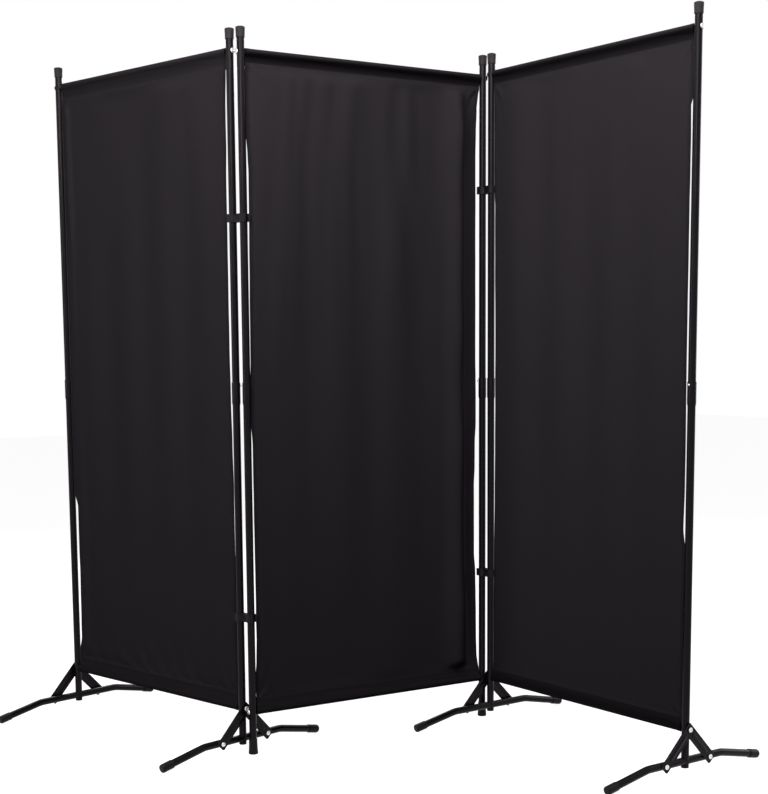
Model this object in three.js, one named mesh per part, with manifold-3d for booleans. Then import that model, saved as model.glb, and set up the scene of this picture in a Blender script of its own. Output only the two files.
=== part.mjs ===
// Folding screen of three cloth panels on black steel tube frames, hinged with plastic clips
import * as THREE from 'three';
import { mergeVertices } from 'three/addons/utils/BufferGeometryUtils.js';
import Module from 'manifold-3d';

const wasm = await Module();
wasm.setup();

// Overall sizes, millimetres
const SCREEN_HEIGHT = 1800; // floor to the top of the post caps
const PANEL_PITCH = 720; // post axis to post axis in one panel
const HINGE_PITCH = 34; // post axis to post axis across a hinge

// Fold of the screen as it stands, degrees from the middle panel's own line
const LEFT_CLIP_ANGLE = 114;
const LEFT_PANEL_ANGLE = 104.4;
const RIGHT_CLIP_ANGLE = -82;
const RIGHT_PANEL_ANGLE = -85.7;

// Fit between pieces that meet
const FIT = 0.3;
const OVERRUN = 5; // how far a cutter runs past what it cuts

// Steel tube
const POST_RADIUS = 9.5;
const TUBE_WALL = 1;
const BAR_RADIUS = 8;
const FOOT_TUBE_RADIUS = 9.5;

// Joint between the two halves of a post
const SOCKET_TOP = 945; // above the floor
const SOCKET_DEPTH = 56;
const SOCKET_SHOULDER = 5;
const SOCKET_STOP_SPACE = 3; // left under the upper tube
const BUTTON_RADIUS = 3;
const BUTTON_BELOW_RIM = 7;
const BUTTON_PROUD = 3.4;
const BUTTON_TIP_CHAMFER = 1.2;
const BUTTON_FLANGE_RADIUS = 4.2;
const BUTTON_FLANGE = 0.9;
const BUTTON_TRAVEL = 4.8;
const SPRING_WIDTH = 7;
const SPRING_THICKNESS = 0.8;
const SPRING_LENGTH = 38;
const SPRING_FOOT = 6; // below the button's axis

// Cross bars, measured to their axes
const OUTER_TOP_BAR_DROP = 54;
const OUTER_BOTTOM_BAR_HEIGHT = 116;
const MIDDLE_TOP_BAR_LOWERED = 5; // below its neighbours'
const MIDDLE_BOTTOM_BAR_LOWERED = 6;
const INSERT_LENGTH = 12;
const INSERT_BITE = 0.4; // how far the hexagon's corners press into the wall

// Zinc plated bolts
const BOLT_RADIUS = 3;
const FLANGE_RADIUS = 7;
const FLANGE_THICKNESS = 1.3;
const HEAD_RADIUS = 5;
const HEAD_HEIGHT = 2.6;
const HEAD_CROWN_SHARE = 0.72;

// Caps on the posts
const CAP_HEIGHT = 26;
const CAP_ROOF = 3;
const CAP_BASE_RADIUS = 10.8;
const CAP_TOP_RADIUS = 11.8;
const CAP_CHAMFER = 1;
const PLUG_HEIGHT = 39;
const PLUG_FLOOR = 4;
const PLUG_TOP_RADIUS = 10.7;
const PLUG_BASE_RADIUS = 11.6;
const PLUG_CHAMFER = 1.2;

// Feet
const FOOT_HALF_LENGTH = 264; // post axis to the end of the cap
const FOOT_TUBE_HEIGHT = 37; // axis of the level middle stretch
const FOOT_BEND_OFFSET = 128;
const FOOT_BEND_RADIUS = 90;
const SPIGOT_HEIGHT = 56; // above the foot tube's axis
const STUB_CLEARANCE = 20.5; // floor to the stub under the post
const FOOT_CAP_RADIUS = 11;
const FOOT_CAP_LENGTH = 34;
const FOOT_CAP_END = 3;
const FOOT_CAP_CHAMFER = 1.5;
const FOOT_CAP_FLAT = 0.5; // depth of the worn flat under each cap

// Braces
const BRACE_SPREAD = 76; // post axis to the lower bolt
const BRACE_HALF_WIDTH = 12;
const BRACE_END = 8; // past each hole
const BRACE_THICKNESS = 2;
const BRACE_CHAMFER = 2;
const BRACE_LIFT = 0.4; // more room where the two straps cross
const BRACE_BOLT_LENGTH = 7;
const BRACE_BOLT_BED = 0.2; // how far the flange beds into the strap
const RIB_HALF_WIDTH = 4;
const RIB_HEIGHT = 1.2;
const RIB_END_GAP = 19; // hole to the end of the rib

// Hinge clips
const CLIP_HEIGHT = 20;
const CLIP_RADIUS = 12.8;
const CLIP_WEB_HALF_WIDTH = 6;
const CLIP_MOUTH_HALF_ANGLE = 40; // degrees
const CLIP_LIP_REACH = 13.6;
const CLIP_LIP_INNER = 8.6;
const CLIP_LIP_THICKNESS = 2.4;
const LEFT_CLIP_RISE = 236; // lower clip above the outer panels' bottom bars
const LEFT_CLIP_DROP = 453; // upper clip below the top of the posts
const RIGHT_CLIP_RISE = 293;
const RIGHT_CLIP_DROP = 353;

// Cloth
const CLOTH_THICKNESS = 1.2;
const CLOTH_END_GAP = 14; // post axis to the sleeve's end
const CLOTH_WAIST = 7; // how far each side edge draws in at mid height
const SLEEVE_DEPTH = 35; // bar axis to the seam
const SEAM_OVERLAP = 2.5;
const SEAM_THICKNESS = 0.5;
const SHEET_INSET = 1; // sleeve's end to the sheet's corner
const RIPPLE_DEPTH = 3.5;
const BELLY_DEPTH = 6;
const RIPPLES = 4;

// Facet counts
const TUBE_SIDES = 12;
const BAR_SIDES = 8;
const HOLE_SIDES = 8;
const HEX_SIDES = 6;
const FOOT_STEPS = 8;
const CLOTH_COLUMNS = 20;
const CLOTH_ROWS = 8;
const SLEEVE_SIDES = 10;

// Which way each snap button faces, degrees from the side away from the cloth
const BUTTON_TURNS = {
  left_outer: -45, left_inner: 50, middle_left: -120, middle_right: 144, right_inner: -36, right_outer: -85,
};

// The corner radius of a bore whose flats clear a round piece however it is turned
const clearOf = (radius, sides) => (radius + FIT) / Math.cos(Math.PI / sides);

// Derived sizes
const postBore = POST_RADIUS - TUBE_WALL;
const socketBore = POST_RADIUS + FIT;
const socketRadius = socketBore + TUBE_WALL;
const socketBottom = SOCKET_TOP - SOCKET_DEPTH;
const buttonHeight = SOCKET_TOP - BUTTON_BELOW_RIM;
const capBore = POST_RADIUS + FIT;
const postTop = SCREEN_HEIGHT - CAP_ROOF - FIT;
const boltHole = BOLT_RADIUS + FIT;
const braceSeat = Math.max(POST_RADIUS, FOOT_TUBE_RADIUS) + FIT;
const upperBraceSeat = braceSeat + BRACE_THICKNESS + FIT + BRACE_LIFT;
const OUTER_BARS = { bottom: OUTER_BOTTOM_BAR_HEIGHT, top: SCREEN_HEIGHT - OUTER_TOP_BAR_DROP };
const MIDDLE_BARS = {
  bottom: OUTER_BARS.bottom - MIDDLE_BOTTOM_BAR_LOWERED, top: OUTER_BARS.top - MIDDLE_TOP_BAR_LOWERED,
};
const LEFT_CLIPS = { lower: OUTER_BARS.bottom + LEFT_CLIP_RISE, upper: SCREEN_HEIGHT - LEFT_CLIP_DROP };
const RIGHT_CLIPS = { lower: OUTER_BARS.bottom + RIGHT_CLIP_RISE, upper: SCREEN_HEIGHT - RIGHT_CLIP_DROP };

// Materials
const finish = (color, roughness, metalness) => ({ color, roughness, metalness });
const BLACK_STEEL = finish('#1b1b1d', 0.38, 0.2);
const BLACK_PLASTIC = finish('#161617', 0.55, 0);
const GREY_PLASTIC = finish('#2f2f31', 0.6, 0);
const BLACK_CLOTH = finish('#232225', 0.85, 0);
const SPRING_STEEL = finish('#8c8d90', 0.35, 0.9);

const X_AXIS = new THREE.Vector3(1, 0, 0);
const Y_AXIS = new THREE.Vector3(0, 1, 0);
const Z_AXIS = new THREE.Vector3(0, 0, 1);
const radians = THREE.MathUtils.degToRad;
const at = (x, y, z) => new THREE.Vector3(x, y, z);

// Solids

// Makes a closed geometry into a body that can be cut and joined
function bodyOf(geometry) {
  geometry.deleteAttribute('normal');
  geometry.deleteAttribute('uv');
  const merged = mergeVertices(geometry);
  const corners = merged.index.array;
  const triangles = [];
  for (let k = 0; k < corners.length; k += 3) {
    const [a, b, c] = corners.slice(k, k + 3);
    if (a !== b && b !== c && c !== a) triangles.push(a, b, c);
  }
  const vertProperties = new Float32Array(merged.attributes.position.array);
  const mesh = new wasm.Mesh({ numProp: 3, vertProperties, triVerts: new Uint32Array(triangles) });
  return new wasm.Manifold(mesh);
}

// A body of revolution: each step is a radius and its distance along the direction
function turned(origin, direction, steps, sides) {
  const [, first] = steps[0];
  const [, last] = steps[steps.length - 1];
  const profile = [[0, first], ...steps, [0, last]];
  const geometry = new THREE.LatheGeometry(profile.map((step) => new THREE.Vector2(...step)), sides);
  geometry.applyQuaternion(new THREE.Quaternion().setFromUnitVectors(Y_AXIS, direction));
  geometry.translate(origin.x, origin.y, origin.z);
  return bodyOf(geometry);
}

// A straight plate with the outline of the given corners, between two heights of the frame
function plate(corners, frame, low, high) {
  const outline = new THREE.Shape(corners.map(([u, v]) => new THREE.Vector2(u, v)));
  const geometry = new THREE.ExtrudeGeometry(outline, { depth: high - low, bevelEnabled: false });
  geometry.translate(0, 0, low);
  geometry.applyMatrix4(frame);
  return bodyOf(geometry);
}

function rectangle(lowU, highU, halfV) {
  return [[lowU, -halfV], [highU, -halfV], [highU, halfV], [lowU, halfV]];
}

function chamferedRectangle(lowU, highU, halfV, chamfer) {
  return [
    [lowU + chamfer, -halfV], [highU - chamfer, -halfV], [highU, chamfer - halfV], [highU, halfV - chamfer],
    [highU - chamfer, halfV], [lowU + chamfer, halfV], [lowU, halfV - chamfer], [lowU, chamfer - halfV],
  ];
}

function piece(name, body, look) {
  const data = body.getMesh();
  const geometry = new THREE.BufferGeometry();
  geometry.setAttribute('position', new THREE.BufferAttribute(data.vertProperties, data.numProp));
  geometry.setIndex(new THREE.BufferAttribute(data.triVerts, 1));
  const mesh = new THREE.Mesh(geometry, new THREE.MeshStandardMaterial(look));
  mesh.name = name;
  return mesh;
}

// A bolt: its head stands on the seat and its shank runs back from it
function bolt(seat, direction, length) {
  const crown = FLANGE_THICKNESS + HEAD_HEIGHT;
  const steps = [
    [BOLT_RADIUS, -length], [BOLT_RADIUS, 0], [FLANGE_RADIUS, 0], [FLANGE_RADIUS, FLANGE_THICKNESS],
    [HEAD_RADIUS, FLANGE_THICKNESS], [HEAD_RADIUS * HEAD_CROWN_SHARE, crown],
  ];
  return turned(seat, direction, steps, HOLE_SIDES);
}

// Posts, in a frame with the post's axis on Z and +X away from the cloth

function boltBore(height) {
  const reach = socketRadius + OVERRUN;
  return turned(at(0, 0, height), X_AXIS, [[boltHole, -reach], [boltHole, reach]], HOLE_SIDES);
}

function buttonBore(turn) {
  const direction = at(Math.cos(turn), Math.sin(turn), 0);
  const steps = [[BUTTON_RADIUS + FIT, 0], [BUTTON_RADIUS + FIT, socketRadius + OVERRUN]];
  return turned(at(0, 0, buttonHeight), direction, steps, HOLE_SIDES);
}

function lowerTube(bottom, barHeight, turn) {
  const shoulderTop = socketBottom + SOCKET_SHOULDER;
  const outside = [
    [POST_RADIUS, bottom], [POST_RADIUS, socketBottom],
    [socketRadius, shoulderTop], [socketRadius, SOCKET_TOP],
  ];
  const inside = [
    [postBore, bottom - OVERRUN], [postBore, socketBottom], [socketBore, shoulderTop],
    [socketBore, SOCKET_TOP + OVERRUN],
  ];
  return turned(at(0, 0, 0), Z_AXIS, outside, TUBE_SIDES)
    .subtract(turned(at(0, 0, 0), Z_AXIS, inside, TUBE_SIDES))
    .subtract(boltBore(barHeight))
    .subtract(buttonBore(turn));
}

function upperTube(barHeight, turn) {
  const bottom = socketBottom + SOCKET_SHOULDER + SOCKET_STOP_SPACE;
  const inside = [[postBore, bottom - OVERRUN], [postBore, postTop + OVERRUN]];
  return turned(at(0, 0, 0), Z_AXIS, [[POST_RADIUS, bottom], [POST_RADIUS, postTop]], TUBE_SIDES)
    .subtract(turned(at(0, 0, 0), Z_AXIS, inside, TUBE_SIDES))
    .subtract(boltBore(barHeight))
    .subtract(buttonBore(turn));
}

function postCap() {
  const base = SCREEN_HEIGHT - CAP_HEIGHT;
  const outside = [
    [CAP_BASE_RADIUS, base], [CAP_TOP_RADIUS, SCREEN_HEIGHT - CAP_CHAMFER],
    [CAP_TOP_RADIUS - CAP_CHAMFER, SCREEN_HEIGHT],
  ];
  const bore = [[capBore, base - OVERRUN], [capBore, SCREEN_HEIGHT - CAP_ROOF]];
  return turned(at(0, 0, 0), Z_AXIS, outside, TUBE_SIDES)
    .subtract(turned(at(0, 0, 0), Z_AXIS, bore, TUBE_SIDES));
}

function floorPlug() {
  const outside = [
    [PLUG_BASE_RADIUS - PLUG_CHAMFER, 0], [PLUG_BASE_RADIUS, PLUG_CHAMFER], [PLUG_TOP_RADIUS, PLUG_HEIGHT],
  ];
  const bore = [[capBore, PLUG_FLOOR], [capBore, PLUG_HEIGHT + OVERRUN]];
  return turned(at(0, 0, 0), Z_AXIS, outside, TUBE_SIDES)
    .subtract(turned(at(0, 0, 0), Z_AXIS, bore, TUBE_SIDES));
}

// The button with its folded spring strip, facing +X at the height of the hole
function snapButton() {
  const tip = socketRadius + BUTTON_PROUD;
  const halfStrip = SPRING_THICKNESS / 2;
  const flangeFace = Math.sqrt((postBore - FIT) ** 2 - BUTTON_FLANGE_RADIUS ** 2);
  const flangeBack = flangeFace - BUTTON_FLANGE;
  const wall = Math.sqrt(postBore ** 2 - (SPRING_WIDTH / 2) ** 2);
  const rear = BUTTON_TRAVEL + FIT + SPRING_THICKNESS - wall;
  const front = flangeBack - halfStrip;
  const fold = at((front + rear) / 2, 0, buttonHeight + SPRING_LENGTH - SPRING_FOOT);
  const strip = (x) => {
    const foot = at(x, 0, buttonHeight - SPRING_FOOT);
    const along = fold.clone().sub(foot);
    const length = along.length();
    const up = along.normalize();
    const frame = new THREE.Matrix4().makeBasis(up, Y_AXIS, up.clone().cross(Y_AXIS)).setPosition(foot);
    return plate(rectangle(0, length, SPRING_WIDTH / 2), frame, -halfStrip, halfStrip);
  };
  const steps = [
    [BUTTON_FLANGE_RADIUS, flangeBack], [BUTTON_FLANGE_RADIUS, flangeFace], [BUTTON_RADIUS, flangeFace],
    [BUTTON_RADIUS, tip - BUTTON_TIP_CHAMFER], [BUTTON_RADIUS - BUTTON_TIP_CHAMFER, tip],
  ];
  const bend = at(fold.x, -SPRING_WIDTH / 2, fold.z);
  const shank = [[BUTTON_RADIUS, front - halfStrip], [BUTTON_RADIUS, flangeFace]];
  return turned(at(0, 0, buttonHeight), X_AXIS, steps, HOLE_SIDES)
    .add(turned(at(0, 0, buttonHeight), X_AXIS, shank, HOLE_SIDES))
    .add(turned(bend, Y_AXIS, [[SPRING_THICKNESS, 0], [SPRING_THICKNESS, SPRING_WIDTH]], HEX_SIDES))
    .add(strip(front))
    .add(strip(rear));
}

// Feet, in the post's frame: the foot tube lies along Y under the post

// The slope that sets the caps on the floor, closed in on by a few steps
function footSlope() {
  const run = FOOT_HALF_LENGTH - FOOT_BEND_OFFSET;
  let slope = 0;
  for (let pass = 0; pass < 8; pass += 1) {
    const endHeight = FOOT_CAP_RADIUS * Math.cos(slope) - FOOT_CAP_CHAMFER * Math.sin(slope) - FOOT_CAP_FLAT;
    slope = Math.atan2(FOOT_TUBE_HEIGHT - endHeight, run);
  }
  return slope;
}

const slope = footSlope();

function footEnd(side) {
  const run = FOOT_HALF_LENGTH - FOOT_BEND_OFFSET;
  return {
    point: at(0, side * FOOT_HALF_LENGTH, FOOT_TUBE_HEIGHT - run * Math.tan(slope)),
    outward: at(0, side * Math.cos(slope), -Math.sin(slope)),
  };
}

// The foot tube's centre line, stopping short of both ends of the caps by the gap
function footPath(endGap) {
  const tangent = FOOT_BEND_RADIUS * Math.tan(slope / 2);
  const path = new THREE.CurvePath();
  let from = footEnd(-1).point.addScaledVector(footEnd(-1).outward, -endGap);
  for (const side of [-1, 1]) {
    const corner = at(0, side * FOOT_BEND_OFFSET, FOOT_TUBE_HEIGHT);
    const level = at(0, corner.y - side * tangent, corner.z);
    const sloping = corner.clone().addScaledVector(footEnd(side).outward, tangent);
    const [near, far] = side < 0 ? [sloping, level] : [level, sloping];
    path.add(new THREE.LineCurve3(from, near));
    path.add(new THREE.QuadraticBezierCurve3(near, corner, far));
    from = far;
  }
  path.add(new THREE.LineCurve3(from, footEnd(1).point.addScaledVector(footEnd(1).outward, -endGap)));
  return path;
}

function footBend(radius, endGap) {
  const outline = new THREE.EllipseCurve(0, 0, radius, radius);
  const section = new THREE.Shape(outline.getPoints(TUBE_SIDES).slice(1));
  return bodyOf(new THREE.ExtrudeGeometry(section, { steps: FOOT_STEPS, extrudePath: footPath(endGap) }));
}

function footTube() {
  const inTube = FOOT_CAP_END + FIT;
  const spigot = [[postBore - FIT, FOOT_TUBE_HEIGHT], [postBore - FIT, FOOT_TUBE_HEIGHT + SPIGOT_HEIGHT]];
  const stub = [[POST_RADIUS, STUB_CLEARANCE], [POST_RADIUS, FOOT_TUBE_HEIGHT]];
  let body = footBend(FOOT_TUBE_RADIUS, inTube)
    .subtract(footBend(FOOT_TUBE_RADIUS - TUBE_WALL, inTube - OVERRUN))
    .add(turned(at(0, 0, 0), Z_AXIS, spigot, TUBE_SIDES))
    .add(turned(at(0, 0, 0), Z_AXIS, stub, TUBE_SIDES));
  for (const side of [-1, 1]) {
    const centre = at(0, side * BRACE_SPREAD, FOOT_TUBE_HEIGHT);
    const hole = [[boltHole, 0], [boltHole, FOOT_TUBE_RADIUS + OVERRUN]];
    body = body.subtract(turned(centre, X_AXIS, hole, HOLE_SIDES));
  }
  return body;
}

// What the foot tube takes out of the post that stands on it
function footSaddle() {
  const reach = POST_RADIUS + OVERRUN;
  const radius = clearOf(FOOT_TUBE_RADIUS, TUBE_SIDES);
  return turned(at(0, 0, FOOT_TUBE_HEIGHT), Y_AXIS, [[radius, -reach], [radius, reach]], TUBE_SIDES);
}

function footCap(side) {
  const { point, outward } = footEnd(side);
  const bore = FOOT_TUBE_RADIUS + FIT;
  const outside = [
    [FOOT_CAP_RADIUS, -FOOT_CAP_LENGTH], [FOOT_CAP_RADIUS, -FOOT_CAP_CHAMFER],
    [FOOT_CAP_RADIUS - FOOT_CAP_CHAMFER, 0],
  ];
  const floorCut = plate(
    rectangle(-FOOT_CAP_LENGTH, FOOT_CAP_LENGTH, FOOT_CAP_LENGTH),
    new THREE.Matrix4().setPosition(point.x, point.y, 0),
    -FOOT_CAP_LENGTH,
    0,
  );
  return turned(point, outward, outside, TUBE_SIDES)
    .subtract(turned(point, outward, [[bore, -FOOT_CAP_LENGTH - OVERRUN], [bore, -FOOT_CAP_END]], TUBE_SIDES))
    .subtract(floorCut);
}

// A strap from the foot tube up to the bar's bolt, with its own lower bolt
function brace(side, topSeat) {
  const foot = at(braceSeat, side * BRACE_SPREAD, FOOT_TUBE_HEIGHT);
  const along = at(topSeat, 0, OUTER_BOTTOM_BAR_HEIGHT).sub(foot);
  const length = along.length();
  const up = along.normalize();
  const across = X_AXIS.clone().cross(up).normalize();
  const normal = up.clone().cross(across);
  const frame = new THREE.Matrix4().makeBasis(up, across, normal).setPosition(foot);
  const outline = chamferedRectangle(-BRACE_END, length + BRACE_END, BRACE_HALF_WIDTH, BRACE_CHAMFER);
  const rib = rectangle(RIB_END_GAP, length - RIB_END_GAP, RIB_HALF_WIDTH);
  const hole = at(topSeat, 0, OUTER_BOTTOM_BAR_HEIGHT);
  const seat = foot.clone().addScaledVector(normal, BRACE_THICKNESS - BRACE_BOLT_BED);
  return plate(outline, frame, 0, BRACE_THICKNESS)
    .add(plate(rib, frame, BRACE_THICKNESS / 2, BRACE_THICKNESS + RIB_HEIGHT))
    .subtract(turned(hole, normal, [[boltHole, -OVERRUN], [boltHole, OVERRUN]], HOLE_SIDES))
    .add(bolt(seat, normal, BRACE_THICKNESS + BRACE_BOLT_LENGTH));
}

// Bars, in the panel's frame: X along the panel, the cloth in the plane y = 0

function bar(height, outerSeat) {
  const half = PANEL_PITCH / 2 - POST_RADIUS - FIT;
  const origin = at(0, 0, height);
  let body = turned(origin, X_AXIS, [[BAR_RADIUS, -half], [BAR_RADIUS, half]], BAR_SIDES)
    .subtract(turned(origin, X_AXIS, [
      [BAR_RADIUS - TUBE_WALL, -half - OVERRUN], [BAR_RADIUS - TUBE_WALL, half + OVERRUN],
    ], BAR_SIDES));
  for (const side of [-1, 1]) {
    const outward = at(side, 0, 0);
    const seat = at(side * (PANEL_PITCH / 2 + outerSeat), 0, height);
    const insertRadius = BAR_RADIUS - TUBE_WALL + INSERT_BITE;
    const shank = outerSeat + POST_RADIUS + FIT + INSERT_LENGTH;
    body = body
      .add(turned(origin, outward, [[insertRadius, half - INSERT_LENGTH], [insertRadius, half]], HEX_SIDES))
      .add(bolt(seat, outward, shank));
  }
  return body;
}

// Cloth

// A sleeve's arc about the bar's axis, a little more than half a turn
function sleeveArc(radius) {
  return Array.from({ length: SLEEVE_SIDES / 2 + 2 }, (_, k) => {
    const angle = (Math.PI * (2 * k - 1)) / SLEEVE_SIDES;
    return new THREE.Vector2(radius * Math.cos(angle), radius * Math.sin(angle));
  });
}

// The sleeve round a bar, drawn to a point at its seam; way is up or down, away from the sheet
function sleeve(height, way) {
  const bore = clearOf(BAR_RADIUS, SLEEVE_SIDES);
  const outer = bore + CLOTH_THICKNESS;
  const halfLength = PANEL_PITCH / 2 - CLOTH_END_GAP;
  const seam = [-1, 1].map((side) => new THREE.Vector2((side * SEAM_THICKNESS) / 2, -SLEEVE_DEPTH));
  const section = new THREE.Shape([...sleeveArc(outer), ...seam]);
  const pocketEnd = new THREE.Vector2(0, (-SLEEVE_DEPTH * bore) / outer);
  section.holes = [new THREE.Path([...sleeveArc(bore), pocketEnd])];
  const geometry = new THREE.ExtrudeGeometry(section, { depth: 2 * halfLength, bevelEnabled: false });
  geometry.translate(0, 0, -halfLength);
  const frame = new THREE.Matrix4().makeBasis(at(0, -way, 0), at(0, 0, way), at(-1, 0, 0));
  geometry.applyMatrix4(frame.setPosition(0, 0, height));
  return bodyOf(geometry);
}

// The sheet between the sleeves: it draws in at the sides and stands off the panel's plane in soft folds
function sheet(low, high) {
  const height = high - low - 2 * (SLEEVE_DEPTH - SEAM_OVERLAP);
  const geometry = new THREE.BoxGeometry(2, CLOTH_THICKNESS, height, CLOTH_COLUMNS, 1, CLOTH_ROWS);
  const corners = geometry.attributes.position;
  for (let k = 0; k < corners.count; k += 1) {
    const [share, y, z] = [corners.getX(k), corners.getY(k), corners.getZ(k)];
    const swell = Math.cos((Math.PI * z) / height);
    const fold = RIPPLE_DEPTH * Math.cos(Math.PI * RIPPLES * share) * (1 + z / height);
    const halfWidth = PANEL_PITCH / 2 - CLOTH_END_GAP - SHEET_INSET - CLOTH_WAIST * swell;
    const standOff = (1 - share * share) * swell * (BELLY_DEPTH + fold);
    corners.setXYZ(k, share * halfWidth, y + standOff, z + (low + high) / 2);
  }
  return bodyOf(geometry);
}

function cloth(low, high) {
  return sheet(low, high).add(sleeve(high, 1)).add(sleeve(low, -1));
}

// Hinge clips: +X runs from the middle panel's post to its neighbour's
function clip(height) {
  const level = (z) => new THREE.Matrix4().setPosition(0, 0, z);
  const low = height - CLIP_HEIGHT / 2;
  const high = height + CLIP_HEIGHT / 2;
  const mouth = radians(CLIP_MOUTH_HALF_ANGLE);
  const reach = CLIP_RADIUS + OVERRUN;
  const bore = clearOf(POST_RADIUS, TUBE_SIDES);
  const web = rectangle(0, HINGE_PITCH, CLIP_WEB_HALF_WIDTH);
  let body = plate(web, level(0), low, high);
  const cuts = [];
  for (const [x, way] of [[0, -1], [HINGE_PITCH, 1]]) {
    const centre = at(x, 0, 0);
    body = body.add(turned(centre, Z_AXIS, [[CLIP_RADIUS, low], [CLIP_RADIUS, high]], TUBE_SIDES));
    cuts.push(turned(centre, Z_AXIS, [[bore, low - OVERRUN], [bore, high + OVERRUN]], TUBE_SIDES));
    const spread = reach * Math.tan(mouth);
    const wedge = [[x, 0], [x + way * reach, -way * spread], [x + way * reach, way * spread]];
    cuts.push(plate(wedge, level(0), low - OVERRUN, high + OVERRUN));
  }
  for (const cut of cuts) body = body.subtract(cut);
  for (const [x, way] of [[0, -1], [HINGE_PITCH, 1]]) {
    for (const side of [-1, 1]) body = body.add(clipLip(x, way, side, mouth, level(0), low, high));
  }
  return body;
}

// One flared lip beside a mouth
function clipLip(x, way, side, mouth, frame, low, high) {
  const root = (radius, angle) => [x + way * radius * Math.cos(angle), side * radius * Math.sin(angle)];
  const bore = clearOf(POST_RADIUS, TUBE_SIDES);
  const corners = [
    root(bore, mouth), [x + way * CLIP_LIP_REACH, side * CLIP_LIP_INNER],
    [x + way * (CLIP_LIP_REACH - CLIP_LIP_THICKNESS), side * (CLIP_LIP_INNER + CLIP_LIP_THICKNESS)],
    root(CLIP_RADIUS, mouth), root((bore + CLIP_RADIUS) / 2, mouth * 1.5),
  ];
  const outline = way * side > 0 ? corners : corners.reverse();
  return plate(outline, frame, low, high);
}

// Assembly

function postGroup(panel, name, side, bars, onFoot) {
  const turn = radians(BUTTON_TURNS[name]);
  const group = new THREE.Group();
  group.position.x = (side * PANEL_PITCH) / 2;
  group.rotation.z = side > 0 ? 0 : Math.PI;
  const bottom = onFoot ? FOOT_TUBE_HEIGHT : PLUG_FLOOR + FIT;
  const lower = lowerTube(bottom, bars.bottom, turn);
  group.add(piece(`${name}_post_lower`, onFoot ? lower.subtract(footSaddle()) : lower, BLACK_STEEL));
  group.add(piece(`${name}_post_upper`, upperTube(bars.top, turn), BLACK_STEEL));
  group.add(piece(`${name}_post_cap`, postCap(), GREY_PLASTIC));
  const button = piece(`${name}_snap_button`, snapButton(), SPRING_STEEL);
  button.rotation.z = turn;
  group.add(button);
  if (onFoot) addFoot(group, name);
  else group.add(piece(`${name}_floor_plug`, floorPlug(), BLACK_PLASTIC));
  panel.add(group);
}

function addFoot(group, name) {
  group.add(piece(`${name}_foot_tube`, footTube(), BLACK_STEEL));
  for (const [end, side] of [['a', -1], ['b', 1]]) {
    group.add(piece(`${name}_foot_cap_${end}`, footCap(side), GREY_PLASTIC));
    group.add(piece(`${name}_brace_${end}`, brace(side, side < 0 ? upperBraceSeat : braceSeat), BLACK_STEEL));
  }
}

function panelGroup(name, posts, bars, onFeet) {
  const panel = new THREE.Group();
  const bareSeat = POST_RADIUS + FIT;
  const braceStack = upperBraceSeat + BRACE_THICKNESS + 2 * FIT;
  panel.add(piece(`${name}_top_bar`, bar(bars.top, bareSeat), BLACK_STEEL));
  panel.add(piece(`${name}_bottom_bar`, bar(bars.bottom, onFeet ? braceStack : bareSeat), BLACK_STEEL));
  panel.add(piece(`${name}_cloth`, cloth(bars.bottom, bars.top), BLACK_CLOTH));
  posts.forEach((post, k) => postGroup(panel, post, k === 0 ? -1 : 1, bars, onFeet));
  return panel;
}

// Where a point lies that is reached from another by a distance at an angle
function step(from, distance, degrees) {
  const angle = radians(degrees);
  return at(from.x + distance * Math.cos(angle), from.y + distance * Math.sin(angle), 0);
}

function clipGroup(post, angle, heights, name) {
  const group = new THREE.Group();
  group.position.copy(post);
  group.rotation.z = radians(angle);
  for (const end of ['lower', 'upper']) {
    group.add(piece(`${name}_clip_${end}`, clip(heights[end]), BLACK_PLASTIC));
  }
  return group;
}

const screen = new THREE.Group();
const leftHinge = at(-PANEL_PITCH / 2, 0, 0);
const rightHinge = at(PANEL_PITCH / 2, 0, 0);
const leftInner = step(leftHinge, HINGE_PITCH, LEFT_CLIP_ANGLE);
const rightInner = step(rightHinge, HINGE_PITCH, RIGHT_CLIP_ANGLE);

screen.add(panelGroup('middle', ['middle_left', 'middle_right'], MIDDLE_BARS, false));

const leftPanel = panelGroup('left', ['left_outer', 'left_inner'], OUTER_BARS, true);
leftPanel.position.copy(step(leftInner, PANEL_PITCH / 2, LEFT_PANEL_ANGLE));
leftPanel.rotation.z = radians(LEFT_PANEL_ANGLE) - Math.PI;
screen.add(leftPanel);

const rightPanel = panelGroup('right', ['right_inner', 'right_outer'], OUTER_BARS, true);
rightPanel.position.copy(step(rightInner, PANEL_PITCH / 2, RIGHT_PANEL_ANGLE));
rightPanel.rotation.z = radians(RIGHT_PANEL_ANGLE);
screen.add(rightPanel);

screen.add(clipGroup(leftHinge, LEFT_CLIP_ANGLE, LEFT_CLIPS, 'left'));
screen.add(clipGroup(rightHinge, RIGHT_CLIP_ANGLE, RIGHT_CLIPS, 'right'));

// The origin is under the middle of the standing screen
screen.updateMatrixWorld(true);
const middle = new THREE.Box3().setFromObject(screen, true).getCenter(at(0, 0, 0));
screen.position.set(-middle.x, -middle.y, 0);

export default screen;
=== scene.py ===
"""A folding screen: three black cloth panels on black steel tube frames, joined by plastic hinge clips."""
from math import asin, atan2, cos, degrees, hypot, pi, radians, sin, sqrt, tan

import bmesh
import bpy
import numpy as np
from mathutils import Matrix, Vector, noise


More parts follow.
